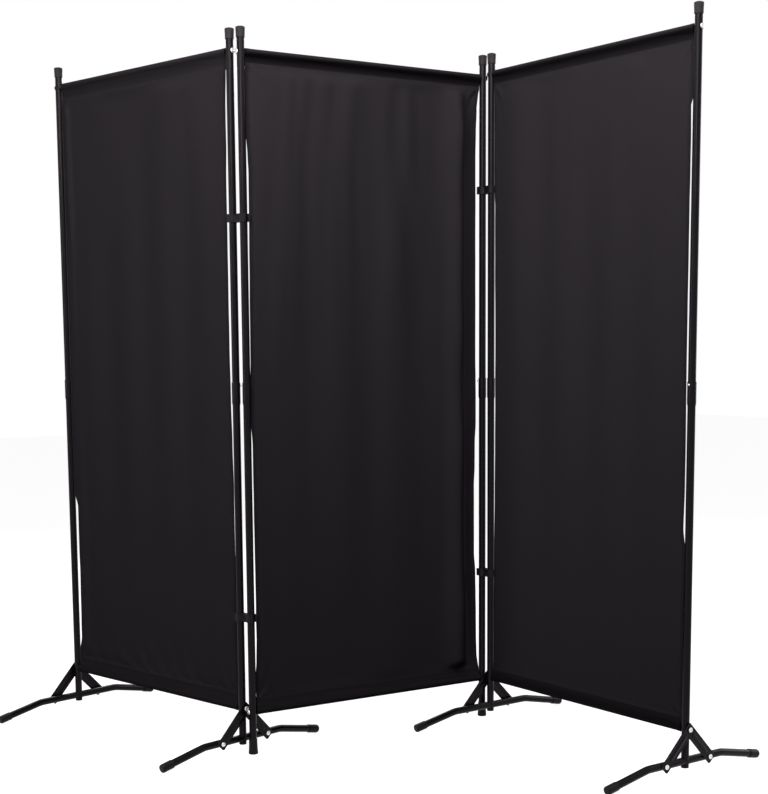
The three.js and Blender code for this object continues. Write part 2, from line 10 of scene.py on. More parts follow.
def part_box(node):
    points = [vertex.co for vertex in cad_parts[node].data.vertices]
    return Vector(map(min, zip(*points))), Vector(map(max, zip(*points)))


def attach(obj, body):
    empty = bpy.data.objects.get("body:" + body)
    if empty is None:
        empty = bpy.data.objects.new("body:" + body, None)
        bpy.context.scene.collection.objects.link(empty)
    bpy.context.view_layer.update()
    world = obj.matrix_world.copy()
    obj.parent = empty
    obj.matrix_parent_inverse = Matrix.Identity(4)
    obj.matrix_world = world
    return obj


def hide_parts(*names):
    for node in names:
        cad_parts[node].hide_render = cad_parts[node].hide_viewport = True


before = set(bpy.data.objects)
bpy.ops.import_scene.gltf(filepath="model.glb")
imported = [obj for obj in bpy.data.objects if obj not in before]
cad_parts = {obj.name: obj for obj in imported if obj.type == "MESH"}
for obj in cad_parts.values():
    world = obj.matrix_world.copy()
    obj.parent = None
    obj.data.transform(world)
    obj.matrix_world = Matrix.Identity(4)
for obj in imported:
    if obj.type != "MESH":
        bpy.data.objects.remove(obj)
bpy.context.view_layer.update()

MM = 0.001
UP = Vector((0, 0, 1))
LYING = Matrix.Rotation(pi / 2, 4, "Y")

# Panels and the two posts of each, from the panel's low end to its high end
PANELS = {
    "middle": ("middle_left", "middle_right"),
    "left": ("left_outer", "left_inner"),
    "right": ("right_inner", "right_outer"),
}
HINGES = {"left": ("middle_left", "left_inner"), "right": ("middle_right", "right_inner")}

# Sizes in millimetres, the same as the solids'
SCREEN_HEIGHT, HALF_PANEL = 1800, 360
POST_RADIUS, TUBE_WALL, FIT = 9.5, 1.0, 0.3
POST_BORE, PUSHED_BORE = POST_RADIUS - TUBE_WALL, POST_RADIUS + FIT
PLUG_FLOOR, CAP_ROOF = 4.3, 3.3
BAR_RADIUS, HALF_BAR = 8, 350.2
SOCKET_TOP, SOCKET_DEPTH, SOCKET_SHOULDER, STOP_SPACE = 945, 56, 5, 3
BUTTON_HEIGHT, BUTTON_RADIUS, BUTTON_PROUD, BUTTON_TRAVEL = 938, 3, 3.4, 4.8
BAR_HEIGHTS = {"middle": (110, 1741), "left": (116, 1746), "right": (116, 1746)}
FOOT_AXIS, FOOT_REACH, FOOT_BEND, FOOT_BEND_RADIUS = 37, 264, 128, 90
STUB_CLEARANCE, STUB_BORE = 20.5, 7.9
FOOT_CAP_RADIUS, FOOT_CAP_LENGTH = 11, 34
BRACE_SPREAD, BRACE_HALF_WIDTH, BRACE_END, BRACE_THICKNESS = 76, 14, 11.5, 2
BRACE_SEAT, UPPER_BRACE_SEAT, BRACE_STACK_SEAT = 9.8, 12.5, 15.1
CLIP_HEIGHT, CLIP_BORE, CLIP_RADIUS, CLIP_WEB = 20, 9.8, 12.8, 6
CLIP_LEVELS = {"left": (352, 1347), "right": (409, 1447)}
HINGE_PITCH = 34
HALF_CLOTH = 345
SEAM_DROPS = {"middle": (28, 25), "left": (34, 33), "right": (25, 27)}
CLOTH_THICKNESS, HEM_THICKNESS, HEM_WIDTH = 0.7, 1.5, 11
BUTTON_TURNS = {
    "left_outer": -45, "left_inner": 50, "middle_left": -120,
    "middle_right": 144, "right_inner": -36, "right_outer": -85,
}

# Each side edge of a cloth: height, distance from the post's axis, and how far it curls to the back
CLOTH_EDGES = {
    "middle_left": [
        (110, 11, 0), (140, 11.5, 1), (150, 12, 3), (200, 12, 3), (240, 15, 3), (300, 16.5, 3),
        (350, 17.5, 6), (400, 16.5, 4), (630, 15.5, 3), (790, 15, 3), (840, 12, 3), (950, 12, 3),
        (1000, 13.5, 3), (1280, 15.5, 3), (1345, 17.5, 6), (1400, 17.5, 4), (1450, 17, 3), (1500, 15, 3),
        (1550, 12, 3.5), (1700, 12, 3.5), (1710, 11.5, 1), (1741, 11, 0)],
    "middle_right": [
        (110, 11, 0), (140, 11.5, 2), (150, 12, 5), (180, 13.5, 8), (225, 13, 11), (285, 10.5, 15),
        (345, 8, 20), (405, 9, 20), (465, 13.5, 20), (645, 14, 20), (705, 11.5, 20), (765, 11, 20),
        (825, 8, 20), (885, 8, 20), (945, 8.5, 20), (1000, 9.5, 20), (1540, 9.5, 20), (1600, 12.5, 14),
        (1660, 13.5, 9), (1700, 12.5, 4), (1710, 11.5, 1), (1741, 11, 0)],
    "left_outer": [
        (116, 15, 0), (170, 15.5, 0), (215, 25.5, 0), (275, 27, 0), (335, 27, 0), (400, 28.5, 0),
        (460, 26.5, 0), (585, 27, 0), (625, 13, 1), (1680, 12.5, 1), (1712, 16, 0), (1746, 24, 0)],
    "left_inner": [
        (116, 11, 0), (148, 11.5, 0), (300, 17, 2.5), (400, 17, 2.5), (465, 15, 0.5), (575, 16, 0),
        (685, 16, 0), (795, 18, 0), (900, 20.5, 0), (1010, 22, 0), (1450, 22, 0), (1530, 20, 0),
        (1620, 19.5, 0), (1670, 18.5, 0), (1700, 16.5, 0), (1715, 12, 0), (1746, 11, 0)],
    "right_inner": [
        (116, 11, 0), (148, 12, 0), (170, 14, 0), (345, 14.5, -1), (385, 17.5, -3), (430, 17.5, -3),
        (470, 16, -1), (520, 15.5, 0), (640, 16.5, 0), (760, 17.5, 0), (1060, 18, 0), (1210, 16.5, 0),
        (1400, 16, 0), (1430, 17.5, -2.5), (1465, 17.5, -2.5), (1530, 14.5, -0.5), (1690, 13.5, 0),
        (1715, 11.5, 0), (1746, 11, 0)],
    "right_outer": [
        (116, 11, 0), (148, 12, 1), (170, 14, 3), (545, 14, 3), (600, 18, 0), (700, 16, 0), (850, 16, 0),
        (950, 17.5, 0), (1360, 17.5, 0), (1410, 16.5, 0), (1485, 17, 0), (1575, 17.5, 0), (1590, 12.5, 0),
        (1710, 12, 0), (1746, 11, 0)],
}

# Strength of the painted shade in the lower and the upper sleeve, for less light coming through them, and how
# wide each side edge's curl is
SLEEVE_SHADE = {"middle": (0.5, 1.0), "left": (0.5, 0.2), "right": (0.9, 0.9)}
CURL_WIDTH = {"middle_left": 16, "middle_right": 72, "left_outer": 20, "left_inner": 18, "right_inner": 16,
              "right_outer": 16}


# Node trees

class Tree:
    """A node tree that is filled by adding nodes to it."""

    def __init__(self, tree):
        self.tree = tree

    def add(self, kind, inputs=None, **settings):
        node = self.tree.nodes.new(kind)
        for name, value in settings.items():
            setattr(node, name, value)
        for name, value in (inputs or {}).items():
            socket = node.inputs[name]
            if isinstance(value, bpy.types.NodeSocket):
                self.tree.links.new(value, socket)
            else:
                socket.default_value = value
        return node

    def first(self, kind, inputs=None, **settings):
        """Adds a node and gives its first output."""
        return self.add(kind, inputs, **settings).outputs[0]

    def math(self, operation, *values):
        return self.first("ShaderNodeMath", dict(enumerate(values)), operation=operation)

    def ramp(self, value, low, high, from_low=0.0, from_high=1.0):
        inputs = {"Value": value, "From Min": from_low, "From Max": from_high, "To Min": low, "To Max": high}
        return self.first("ShaderNodeMapRange", inputs, interpolation_type="SMOOTHSTEP")

    def noise(self, coordinates, scale, detail=3.0, roughness=0.5):
        inputs = {"Vector": coordinates, "Scale": scale, "Detail": detail, "Roughness": roughness}
        return self.first("ShaderNodeTexNoise", inputs)

    def stretched(self, coordinates, scale):
        return self.first("ShaderNodeVectorMath", {0: coordinates, 1: scale}, operation="MULTIPLY")


def spaced(values):
    """Keyword arguments under the names of sockets."""
    return {label.replace("_", " "): value for label, value in values.items()}


def node_group(name, kind, inputs, outputs):
    """A tree with the listed sockets, each a label, a kind and a value to start from."""
    tree = bpy.data.node_groups.new(name, f"{kind}NodeTree")
    for way, sockets in (("INPUT", inputs), ("OUTPUT", outputs)):
        for label, socket_kind, value in sockets:
            socket = tree.interface.new_socket(label, in_out=way, socket_type=f"NodeSocket{socket_kind}")
            if value is not None:
                socket.default_value = value
    made = Tree(tree)
    made.given = made.add("NodeGroupInput").outputs
    return made


def shader_group(name, inputs, *outputs):
    return node_group(name, "Shader", inputs, [(label, "Float", None) for label in outputs])


def give(group, **values):
    group.add("NodeGroupOutput", spaced(values))
    return group.tree


def powder_grain():
    """The fine orange peel of a baked powder coat, and slow changes in its gloss."""
    group = shader_group("powder grain", [("Coordinates", "Vector", None), ("Grain Size", "Float", 0.0012)],
                         "Height", "Gloss Change")
    place = group.given["Coordinates"]
    peel = group.noise(place, group.math("DIVIDE", 1.0, group.given["Grain Size"]), 2.0)
    return give(group, Height=peel, Gloss_Change=group.noise(place, 14.0, 4.0))


def handling_scuffs():
    """Thin dull rubs along the length of a piece, where hands and floors have touched it."""
    group = shader_group("handling scuffs", [("Coordinates", "Vector", None), ("Coverage", "Float", 0.3)],
                         "Mask")
    place = group.given["Coordinates"]
    fine = group.noise(group.stretched(place, (260.0, 260.0, 34.0)), 1.0, 5.0, 0.62)
    both = group.math("MULTIPLY", fine, group.noise(place, 9.0, 2.0))
    edge = group.math("SUBTRACT", 0.5, group.math("MULTIPLY", group.given["Coverage"], 0.35))
    return give(group, Mask=group.ramp(both, 0.0, 1.0, edge, group.math("ADD", edge, 0.08)))


def settled_dust():
    """Dust on whatever faces up."""
    group = shader_group("settled dust", [("Coordinates", "Vector", None), ("Amount", "Float", 0.4)],
                         "Mask")
    normal = group.add("ShaderNodeNewGeometry").outputs["Normal"]
    upward = group.add("ShaderNodeSeparateXYZ", {"Vector": normal}).outputs["Z"]
    shelf = group.ramp(upward, 0.0, 1.0, 0.35, 0.95)
    specks = group.ramp(group.noise(group.given["Coordinates"], 420.0, 4.0, 0.7), 0.25, 1.0, 0.35, 0.65)
    dusty = group.math("MULTIPLY", shelf, specks)
    return give(group, Mask=group.math("MULTIPLY", dusty, group.given["Amount"]))


def plain_weave():
    """Threads crossing over and under, in a plane of lengths across and along the cloth."""
    group = shader_group("plain weave", [
        ("Cloth Lengths", "Vector", None), ("Thread Pitch", "Float", 0.0006)], "Height", "Slub")
    lengths = group.given["Cloth Lengths"]
    half_turns = group.math("DIVIDE", pi, group.given["Thread Pitch"])
    phases = group.first("ShaderNodeVectorMath", {0: lengths, "Scale": half_turns}, operation="SCALE")
    parts = group.add("ShaderNodeSeparateXYZ", {"Vector": phases}).outputs
    warp, weft = (group.math("SINE", parts[axis]) for axis in "XY")
    over = group.math("MULTIPLY_ADD", group.math("MULTIPLY", warp, weft), 0.5, 0.5)
    under = group.math("SUBTRACT", 1.0, over)
    height = group.math("ADD", group.math("MULTIPLY", group.math("ABSOLUTE", warp), over),
                        group.math("MULTIPLY", group.math("ABSOLUTE", weft), under))
    slub = group.math("ADD", *[group.noise(group.stretched(lengths, scale), 1.0, 3.0, 0.6)
                               for scale in ((900.0, 22.0, 1.0), (18.0, 700.0, 1.0))])
    return give(group, Height=height, Slub=group.math("MULTIPLY", slub, 0.5))


GROUPS = {made.name: made for made in (powder_grain(), handling_scuffs(), settled_dust(), plain_weave())}


def start_material(name, **shader_values):
    material = bpy.data.materials.new(name)
    material.use_nodes = True
    tree = Tree(material.node_tree)
    tree.shader = material.node_tree.nodes["Principled BSDF"]
    for label, value in spaced(shader_values).items():
        tree.shader.inputs[label].default_value = value
    tree.place = tree.add("ShaderNodeTexCoord").outputs
    return material, tree


def use_group(tree, name, **values):
    return tree.add("ShaderNodeGroup", spaced(values), node_tree=GROUPS[name]).outputs


def feed(tree, **sources):
    for label, source in spaced(sources).items():
        tree.tree.links.new(source, tree.shader.inputs[label])


def bumped(tree, height, distance, strength=1.0):
    return tree.first("ShaderNodeBump", {"Height": height, "Distance": distance, "Strength": strength})


def mixed(tree, factor, first, second):
    return tree.add("ShaderNodeMix", {0: factor, 6: first, 7: second}, data_type="RGBA").outputs[2]


def worn(tree, grain_size, coverage):
    """The grain's height, its gloss and the scuffs of a handled surface."""
    place = tree.place["Object"]
    grain = use_group(tree, "powder grain", Coordinates=place, Grain_Size=grain_size)
    scuffs = use_group(tree, "handling scuffs", Coordinates=place, Coverage=coverage)["Mask"]
    return grain["Height"], grain["Gloss Change"], scuffs


def powder_coated_steel():
    material, tree = start_material("black powder coat", Specular_IOR_Level=0.1,
                                    Specular_Tint=(1.0, 0.86, 1.0, 1))
    height, gloss, scuffs = worn(tree, 0.0007, 0.35)
    dust = use_group(tree, "settled dust", Coordinates=tree.place["Object"], Amount=0.22)["Mask"]
    paint = mixed(tree, gloss, (0.0044, 0.0038, 0.0044, 1), (0.0062, 0.0054, 0.0062, 1))
    rubbed = mixed(tree, tree.math("MULTIPLY", scuffs, 0.12), paint, (0.016, 0.0145, 0.016, 1))
    colour = mixed(tree, dust, rubbed, (0.05, 0.048, 0.047, 1))
    satin = tree.ramp(gloss, 0.2, 0.3, 0.3, 0.7)
    roughness = tree.math("ADD", satin, tree.math("MULTIPLY", tree.math("MAXIMUM", scuffs, dust), 0.08))
    feed(tree, Base_Color=colour, Roughness=roughness, Normal=bumped(tree, height, 0.00001, 0.2))
    return material


def moulded_plastic(name, dark, light, roughness_low, roughness_high):
    material, tree = start_material(name, Specular_IOR_Level=0.12, Specular_Tint=(1.0, 0.88, 1.0, 1))
    height, gloss, scuffs = worn(tree, 0.0006, 0.5)
    dust = use_group(tree, "settled dust", Coordinates=tree.place["Object"], Amount=0.3)["Mask"]
    pale = tree.math("MAXIMUM", tree.math("MULTIPLY", scuffs, 0.35), dust)
    colour = mixed(tree, pale, mixed(tree, gloss, dark, light), (0.06, 0.058, 0.058, 1))
    feed(tree, Base_Color=colour, Roughness=tree.ramp(gloss, roughness_low, roughness_high),
         Normal=bumped(tree, height, 0.00006, 0.7))
    return material


def bright_metal(name, dull, bright, roughness_low, roughness_high):
    material, tree = start_material(name, Metallic=1.0)
    height, gloss, scuffs = worn(tree, 0.0004, 0.6)
    roughness = tree.math("ADD", tree.ramp(gloss, roughness_low, roughness_high),
                          tree.math("MULTIPLY", scuffs, 0.15))
    feed(tree, Base_Color=mixed(tree, gloss, dull, bright), Roughness=roughness,
         Normal=bumped(tree, height, 0.00002, 0.5))
    return material


def woven_cloth():
    material, tree = start_material("black polyester cloth", Specular_IOR_Level=0.0, Sheen_Weight=0.015,
                                    Sheen_Roughness=0.4, Sheen_Tint=(0.8, 0.74, 0.82, 1))
    lengths = tree.place["UV"]
    weave = use_group(tree, "plain weave", Cloth_Lengths=lengths, Thread_Pitch=0.00055)
    lint = tree.ramp(tree.noise(tree.place["Object"], 650.0, 2.0, 0.8), 0.0, 1.0, 0.72, 0.8)
    threads = mixed(tree, weave["Slub"], (0.021, 0.0183, 0.0209, 1), (0.032, 0.0279, 0.0318, 1))
    gaps = tree.ramp(weave["Height"], 0.0, 0.35, 0.9, 0.1)
    shaded = mixed(tree, gaps, threads, (0.0136, 0.0117, 0.0135, 1))
    linted = mixed(tree, tree.math("MULTIPLY", lint, 0.25), shaded, (0.06, 0.055, 0.06, 1))
    # Painted shade: where the cloth lies double, its colour goes up to 85% of the way to near black
    painted_layer_shade = tree.add("ShaderNodeAttribute", attribute_name="painted_layer_shade").outputs["Fac"]
    colour = mixed(tree, painted_layer_shade, linted, mixed(tree, 0.85, linted, (0.002, 0.0017, 0.002, 1)))
    feed(tree, Base_Color=colour, Roughness=tree.ramp(tree.noise(lengths, 9.0, 3.0), 0.5, 0.62),
         Normal=bumped(tree, weave["Height"], 0.00016, 0.35))
    return material


def sewing_thread():
    material, tree = start_material("black sewing thread", Specular_IOR_Level=0.3, Sheen_Weight=0.1)
    waves = {"Vector": tree.place["Object"], "Scale": 900.0, "Distortion": 2.0}
    twist = tree.add("ShaderNodeTexWave", waves).outputs["Fac"]
    feed(tree, Base_Color=mixed(tree, twist, (0.012, 0.0115, 0.0125, 1), (0.03, 0.029, 0.031, 1)),
         Roughness=tree.ramp(twist, 0.6, 0.75), Normal=bumped(tree, twist, 0.00008, 0.5))
    return material


BLACK_STEEL = powder_coated_steel()
BLACK_PLASTIC = moulded_plastic(
    "black nylon", (0.0056, 0.0049, 0.0056, 1), (0.009, 0.008, 0.009, 1), 0.4, 0.55)
GREY_PLASTIC = moulded_plastic(
    "charcoal soft plastic", (0.021, 0.0187, 0.021, 1), (0.03, 0.027, 0.03, 1), 0.45, 0.62)
ZINC = bright_metal("zinc plate", (0.62, 0.62, 0.6, 1), (0.8, 0.8, 0.79, 1), 0.28, 0.42)
SPRING_STEEL = bright_metal("spring steel", (0.36, 0.36, 0.37, 1), (0.5, 0.5, 0.51, 1), 0.24, 0.36)
BLACK_CLOTH = woven_cloth()
BLACK_THREAD = sewing_thread()


# Places, taken from the solids

def post_axis(post):
    low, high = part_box(f"{post}_post_cap")
    return Vector(((low.x + high.x) / 2, (low.y + high.y) / 2, 0))


def placed(origin, direction):
    """A place on the floor for sizes in millimetres, with its X along the direction."""
    along = Vector((direction.x, direction.y, 0)).normalized()
    turn = Matrix((along, UP.cross(along), UP)).transposed().to_4x4()
    return Matrix.Translation(origin) @ turn @ Matrix.Scale(MM, 4)


AXES = {post: post_axis(post) for posts in PANELS.values() for post in posts}


def panel_place(panel):
    low, high = (AXES[post] for post in PANELS[panel])
    return placed((low + high) / 2, high - low)


def post_place(panel, post):
    low, high = (AXES[each] for each in PANELS[panel])
    return placed(AXES[post], AXES[post] - (low + high) / 2)


# Shapes, in millimetres at their own place

def softened(corners, radius, closed=False, steps=4):
    """The same outline with its corners rounded; a third number in a corner is its own radius."""
    points = []
    count = len(corners)
    for k, corner in enumerate(corners):
        here = np.array(corner[:2], float)
        own = corner[2] if len(corner) > 2 else radius
        if own <= 0 or (not closed and k in (0, count - 1)):
            points.append(tuple(here))
            continue
        before = np.array(corners[k - 1][:2], float) - here
        after = np.array(corners[(k + 1) % count][:2], float) - here
        reach = min(own, np.linalg.norm(before) * 0.49, np.linalg.norm(after) * 0.49)
        first = here + before / np.linalg.norm(before) * reach
        last = here + after / np.linalg.norm(after) * reach
        for step in range(steps + 1):
            t = step / steps
            points.append(tuple((1 - t) ** 2 * first + 2 * t * (1 - t) * here + t * t * last))
    return points


def angles(sides):
    return [2 * pi * k / sides for k in range(sides)]


def ring(bm, radius, height, sides):
    """Vertices round Z, or a single one on the axis."""
    if radius < 1e-6:
        return [bm.verts.new((0, 0, height))]
    return [bm.verts.new((radius * cos(a), radius * sin(a), height)) for a in angles(sides)]


def skin(bm, rings, closed=False):
    """Faces from every ring of vertices to the next, and from the last to the first of a closed row."""
    faces = []
    for low, high in list(zip(rings, rings[1:])) + ([(rings[-1], rings[0])] if closed else []):
        sides = max(len(low), len(high))
        for k in range(sides):
            n = (k + 1) % sides
            loop = [low[k % len(low)], low[n % len(low)], high[n % len(high)], high[k % len(high)]]
            loop = [v for i, v in enumerate(loop) if v is not loop[i - 1]]
            if len(loop) > 2:
                faces.append(bm.faces.new(loop))
    return faces


def turned(section, sides=48, closed=False):
    """A body of revolution about Z from a section of radius and height."""
    bm = bmesh.new()
    skin(bm, [ring(bm, radius, height, sides) for radius, height in section], closed)
    return bm


def ribbon(path, thickness):
    """The outline of a strip of sheet that follows a path."""
    line = np.array(path, float)
    run = np.gradient(line, axis=0)
    aside = np.stack([run[:, 1], -run[:, 0]], 1) / np.linalg.norm(run, axis=1)[:, None] * thickness / 2
    return [tuple(p) for p in np.concatenate([line + aside, (line - aside)[::-1]])]


def extruded(outline, low, high, edge=0.0):
    """An outline in X and Y pulled up from low to high, with both rims eased."""
    bm = bmesh.new()
    floor = [bm.verts.new((x, y, low)) for x, y in outline]
    roof = [bm.verts.new((x, y, high)) for x, y in outline]
    rims = [bm.faces.new(list(reversed(floor))), bm.faces.new(roof)]
    for k in range(len(outline)):
        n = (k + 1) % len(outline)
        bm.faces.new((floor[k], floor[n], roof[n], roof[k]))
    if edge:
        edges = [e for face in rims for e in face.edges]
        bmesh.ops.bevel(bm, geom=edges, offset=edge, segments=3, profile=0.6, affect="EDGES")
    return bm


def joined(*bodies):
    together = bodies[0]
    for body in bodies[1:]:
        spare = bpy.data.meshes.new("spare")
        body.to_mesh(spare)
        body.free()
        together.from_mesh(spare)
        bpy.data.meshes.remove(spare)
    return together


def moved(bm, place):
    bmesh.ops.transform(bm, matrix=place, verts=bm.verts)
    return bm


def linked(name, data):
    obj = bpy.data.objects.new(name, data)
    bpy.context.scene.collection.objects.link(obj)
    return obj


def creased(mesh, crease):
    mesh.shade_smooth()
    mesh.set_sharp_from_angle(angle=radians(crease))


def object_of(name, bm, material, crease=34):
    bmesh.ops.recalc_face_normals(bm, faces=bm.faces)
    mesh = bpy.data.meshes.new(name)
    bm.to_mesh(mesh)
    bm.free()
    creased(mesh, crease)
    obj = linked(name, mesh)
    mesh.materials.append(material)
    return obj


def applied(obj):
    """Bakes the modifiers into the mesh and removes them."""
    graph = bpy.context.evaluated_depsgraph_get()
    baked = bpy.data.meshes.new_from_object(obj.evaluated_get(graph), depsgraph=graph)
    obj.modifiers.clear()
    obj.data = baked
    return obj


def cut(obj, tool):
    modifier = obj.modifiers.new("cut", "BOOLEAN")
    modifier.operation = "DIFFERENCE"
    modifier.solver = "EXACT"
    modifier.object = tool
    applied(obj)
    bpy.data.objects.remove(tool)
    creased(obj.data, 34)


def finished(obj, body, slot, *nodes):
    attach(obj, body)
    if nodes:
        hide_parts(*nodes)
    return obj


def piece(name, bm, place, material, body, slot, node, crease=34):
    """Moves a body to its place, where it stands for a solid."""
    return finished(object_of(name, moved(bm, place), material, crease), body, slot, node)


# Posts

def post_tube(panel, post, place, half, wall):
    """A post's lower or upper half, with the hole that the snap button looks out of."""
    bm = turned(softened(wall, 0, closed=True), 48, closed=True)
    if half == "lower" and panel != "middle":
        # The wall ends in a saddle that fits the foot tube
        for vert in bm.verts:
            if vert.co.z < FOOT_AXIS + 1:
                vert.co.z = FOOT_AXIS + sqrt(PUSHED_BORE ** 2 - vert.co.x ** 2)
    obj = object_of(f"{post}_{half}_tube", moved(bm, place), BLACK_STEEL)
    radius = BUTTON_RADIUS + FIT
    drill = turned([(0, 2), (radius, 2), (radius, 16), (0, 16)], 32)
    turn = Matrix.Rotation(radians(BUTTON_TURNS[post]), 4, "Z")
    moved(drill, Matrix.Translation((0, 0, BUTTON_HEIGHT)) @ turn @ LYING)
    cut(obj, object_of("drill", moved(drill, place), BLACK_STEEL))
    return finished(obj, f"{panel}_panel", "black_steel", f"{post}_post_{half}")


def lower_tube(panel, post, place):
    """A tube that is widened at its top, where the upper tube is pushed in."""
    bottom = FOOT_AXIS if panel != "middle" else PLUG_FLOOR
    socket_bottom = SOCKET_TOP - SOCKET_DEPTH
    shoulder, socket_radius = socket_bottom + SOCKET_SHOULDER, PUSHED_BORE + TUBE_WALL
    outside = [(POST_RADIUS, z, 0) for z in (bottom, bottom + 30, 300, 600)] + [
        (POST_RADIUS, socket_bottom, 3), (socket_radius, shoulder, 3), (socket_radius, SOCKET_TOP, 0.5)]
    inside = [(PUSHED_BORE, SOCKET_TOP, 0.3), (PUSHED_BORE, shoulder, 0), (POST_BORE, socket_bottom, 0),
              (POST_BORE, bottom + 30, 0), (POST_BORE, bottom, 0)]
    return post_tube(panel, post, place, "lower", outside + inside)


def upper_tube(panel, post, place):
    bottom = SOCKET_TOP - SOCKET_DEPTH + SOCKET_SHOULDER + STOP_SPACE
    top = SCREEN_HEIGHT - CAP_ROOF
    wall = [(POST_RADIUS, bottom, 0.4), (POST_RADIUS, 1000, 0), (POST_RADIUS, 1400, 0),
            (POST_RADIUS, top, 0.3), (POST_BORE, top, 0.2), (POST_BORE, bottom, 0.2)]
    return post_tube(panel, post, place, "upper", wall)


def post_cap(panel, post, place):
    """A push-on cap, a little wider at the top, with shallow flutes down to a plain skirt."""
    top, base, flutes, flute_start, flute_end = SCREEN_HEIGHT, SCREEN_HEIGHT - 26, 10, 2.0, 18
    section = [(0, top), (8.2, top, 0.6), (9.2, top - 1, 0.8), (10.9, top - 1.2, 0.7),
               (11.7, top - 2.6, 0.9)]
    section += [(11.7 - 0.045 * drop, top - drop, 0) for drop in (4, 6, 9, 12, 14.5, 16, 17.5, 19)]
    section += [(10.8, base, 0.5), (PUSHED_BORE, base, 0.3), (PUSHED_BORE, top - 3, 0), (0, top - 3)]
    bm = turned(softened(section, 0), 80)
    for vert in bm.verts:
        depth = top - vert.co.z
        if hypot(vert.co.x, vert.co.y) > 10.5 and flute_start < depth < flute_end:
            fade = min(1, (depth - flute_start) / 2.5) * min(1, (flute_end - depth) / 3.0)
            wave = cos(flutes * atan2(vert.co.y, vert.co.x))
            vert.co.xy *= 1 - 0.045 * fade * max(0, wave) ** 1.5
    return piece(f"{post}_top_cap", bm, place, GREY_PLASTIC, f"{panel}_panel", "grey_plastic",
                 f"{post}_post_cap")


def floor_plug(post, place):
    section = [(0, 0), (11.4, 0, 1.0), (12.4, 1.2, 1.0), (12.2, 5, 1), (11.6, 12, 4), (11.0, 24, 4),
               (10.8, 33, 1), (11.0, 36, 0.6), (10.8, 39, 0.6), (PUSHED_BORE, 39, 0.3), (PUSHED_BORE, 4, 0),
               (0, 4)]
    return piece(f"{post}_foot_plug", turned(softened(section, 0), 48), place, BLACK_PLASTIC,
                 "middle_panel", "black_plastic", f"{post}_floor_plug")


def snap_button(post, place):
    """A domed button on a strip of spring steel that is folded over inside the post."""
    flange, flange_thickness, strip_half, strip_thickness = 4.2, 0.9, 3.5, 0.8
    tip = PUSHED_BORE + TUBE_WALL + BUTTON_PROUD
    face = sqrt((POST_BORE - FIT) ** 2 - flange ** 2)
    section = [(0, tip), (1.1, tip - 0.1, 0.6), (2.2, tip - 0.7, 0.8), (BUTTON_RADIUS, tip - 1.8, 0.9),
               (BUTTON_RADIUS, face, 0.2), (flange, face, 0.3), (flange, face - flange_thickness, 0.3),
               (0, face - flange_thickness)]
    button = moved(turned(softened(section, 0), 32), LYING)
    front = face - 1.3
    rear = BUTTON_TRAVEL + FIT + strip_thickness - sqrt(POST_BORE ** 2 - strip_half ** 2)
    bend, foot, top = (front - rear) / 2, -6.0, 32.0
    over = [pi * k / 12 for k in range(13)]
    path = [(front, foot), (front, top - bend - 4)] + [
        (rear + bend + bend * cos(a), top - bend + bend * sin(a)) for a in over] + [
        (rear, top - bend - 4), (rear, foot)]
    strip = extruded(ribbon(path, strip_thickness), -strip_half, strip_half, 0.12)
    moved(strip, Matrix.Rotation(pi / 2, 4, "X"))
    turn = Matrix.Rotation(radians(BUTTON_TURNS[post]), 4, "Z")
    set_in = place @ turn @ Matrix.Translation((0, 0, BUTTON_HEIGHT))
    return piece(f"{post}_button", joined(button, strip), set_in, SPRING_STEEL, f"{post}_button",
                 "spring_steel", f"{post}_snap_button")


# Feet

def foot_slope():
    """The slope of a foot's ends that sets the caps on the floor."""
    slope = 0.0
    for _ in range(8):
        end_height = FOOT_CAP_RADIUS * cos(slope) - 1.5 * sin(slope) - 0.5
        slope = atan2(FOOT_AXIS - end_height, FOOT_REACH - FOOT_BEND)
    return slope


SLOPE = foot_slope()


def foot_end(side, back=0.0):
    run = FOOT_REACH - FOOT_BEND
    outward = Vector((0, side * cos(SLOPE), -sin(SLOPE)))
    return Vector((0, side * FOOT_REACH, FOOT_AXIS - run * tan(SLOPE))) - outward * back, outward


def geometry_tree(name, inputs):
    geometry = ("Geometry", "Geometry", None)
    return node_group(name, "Geometry", [geometry] + inputs, [geometry])


def end_tree(made, geometry, material, selection=None, second=None):
    """Ends a tree in real geometry of one material, and of a second one where a selection holds."""
    real = made.first("GeometryNodeRealizeInstances", {"Geometry": geometry})
    dressed = made.first("GeometryNodeSetMaterial", {"Geometry": real, "Material": material})
    if selection:
        inputs = {"Geometry": dressed, "Selection": selection, "Material": second}
        dressed = made.first("GeometryNodeSetMaterial", inputs)
    made.add("NodeGroupOutput", {0: dressed})
    return made.tree


def grown(obj, tree, **values):
    """Runs a tree on an object and keeps what it makes as a plain mesh."""
    modifier = obj.modifiers.new(tree.name, "NODES")
    modifier.node_group = tree
    for item in tree.interface.items_tree:
        key = item.name.replace(" ", "_")
        if item.in_out == "INPUT" and key in values:
            modifier[item.identifier] = values[key]
    return applied(obj)


def bent_tube_tree():
    """A round tube bent along a line of corners."""
    made = geometry_tree("bent tube", [("Tube Radius", "Float", 0.0095), ("Bend Radius", "Float", 0.09),
                                       ("Bend Steps", "Int", 14), ("Sides", "Int", 48)])
    given = made.given
    line = made.first("GeometryNodeMeshToCurve", {"Mesh": given["Geometry"]})
    corners = {"Curve": line, "Radius": given["Bend Radius"], "Count": given["Bend Steps"]}
    bent = made.first("GeometryNodeFilletCurve", corners, mode="POLY")
    rim = made.first("GeometryNodeCurvePrimitiveCircle",
                     {"Resolution": given["Sides"], "Radius": given["Tube Radius"]})
    tube = made.first("GeometryNodeCurveToMesh", {"Curve": bent, "Profile Curve": rim, "Fill Caps": True})
    return end_tree(made, made.first("GeometryNodeSetShadeSmooth", {"Geometry": tube}), BLACK_STEEL)


def line_object(name, points, edges):
    mesh = bpy.data.meshes.new(name)
    mesh.from_pydata([tuple(p) for p in points], edges, [])
    return linked(name, mesh)


BENT_TUBE = bent_tube_tree()


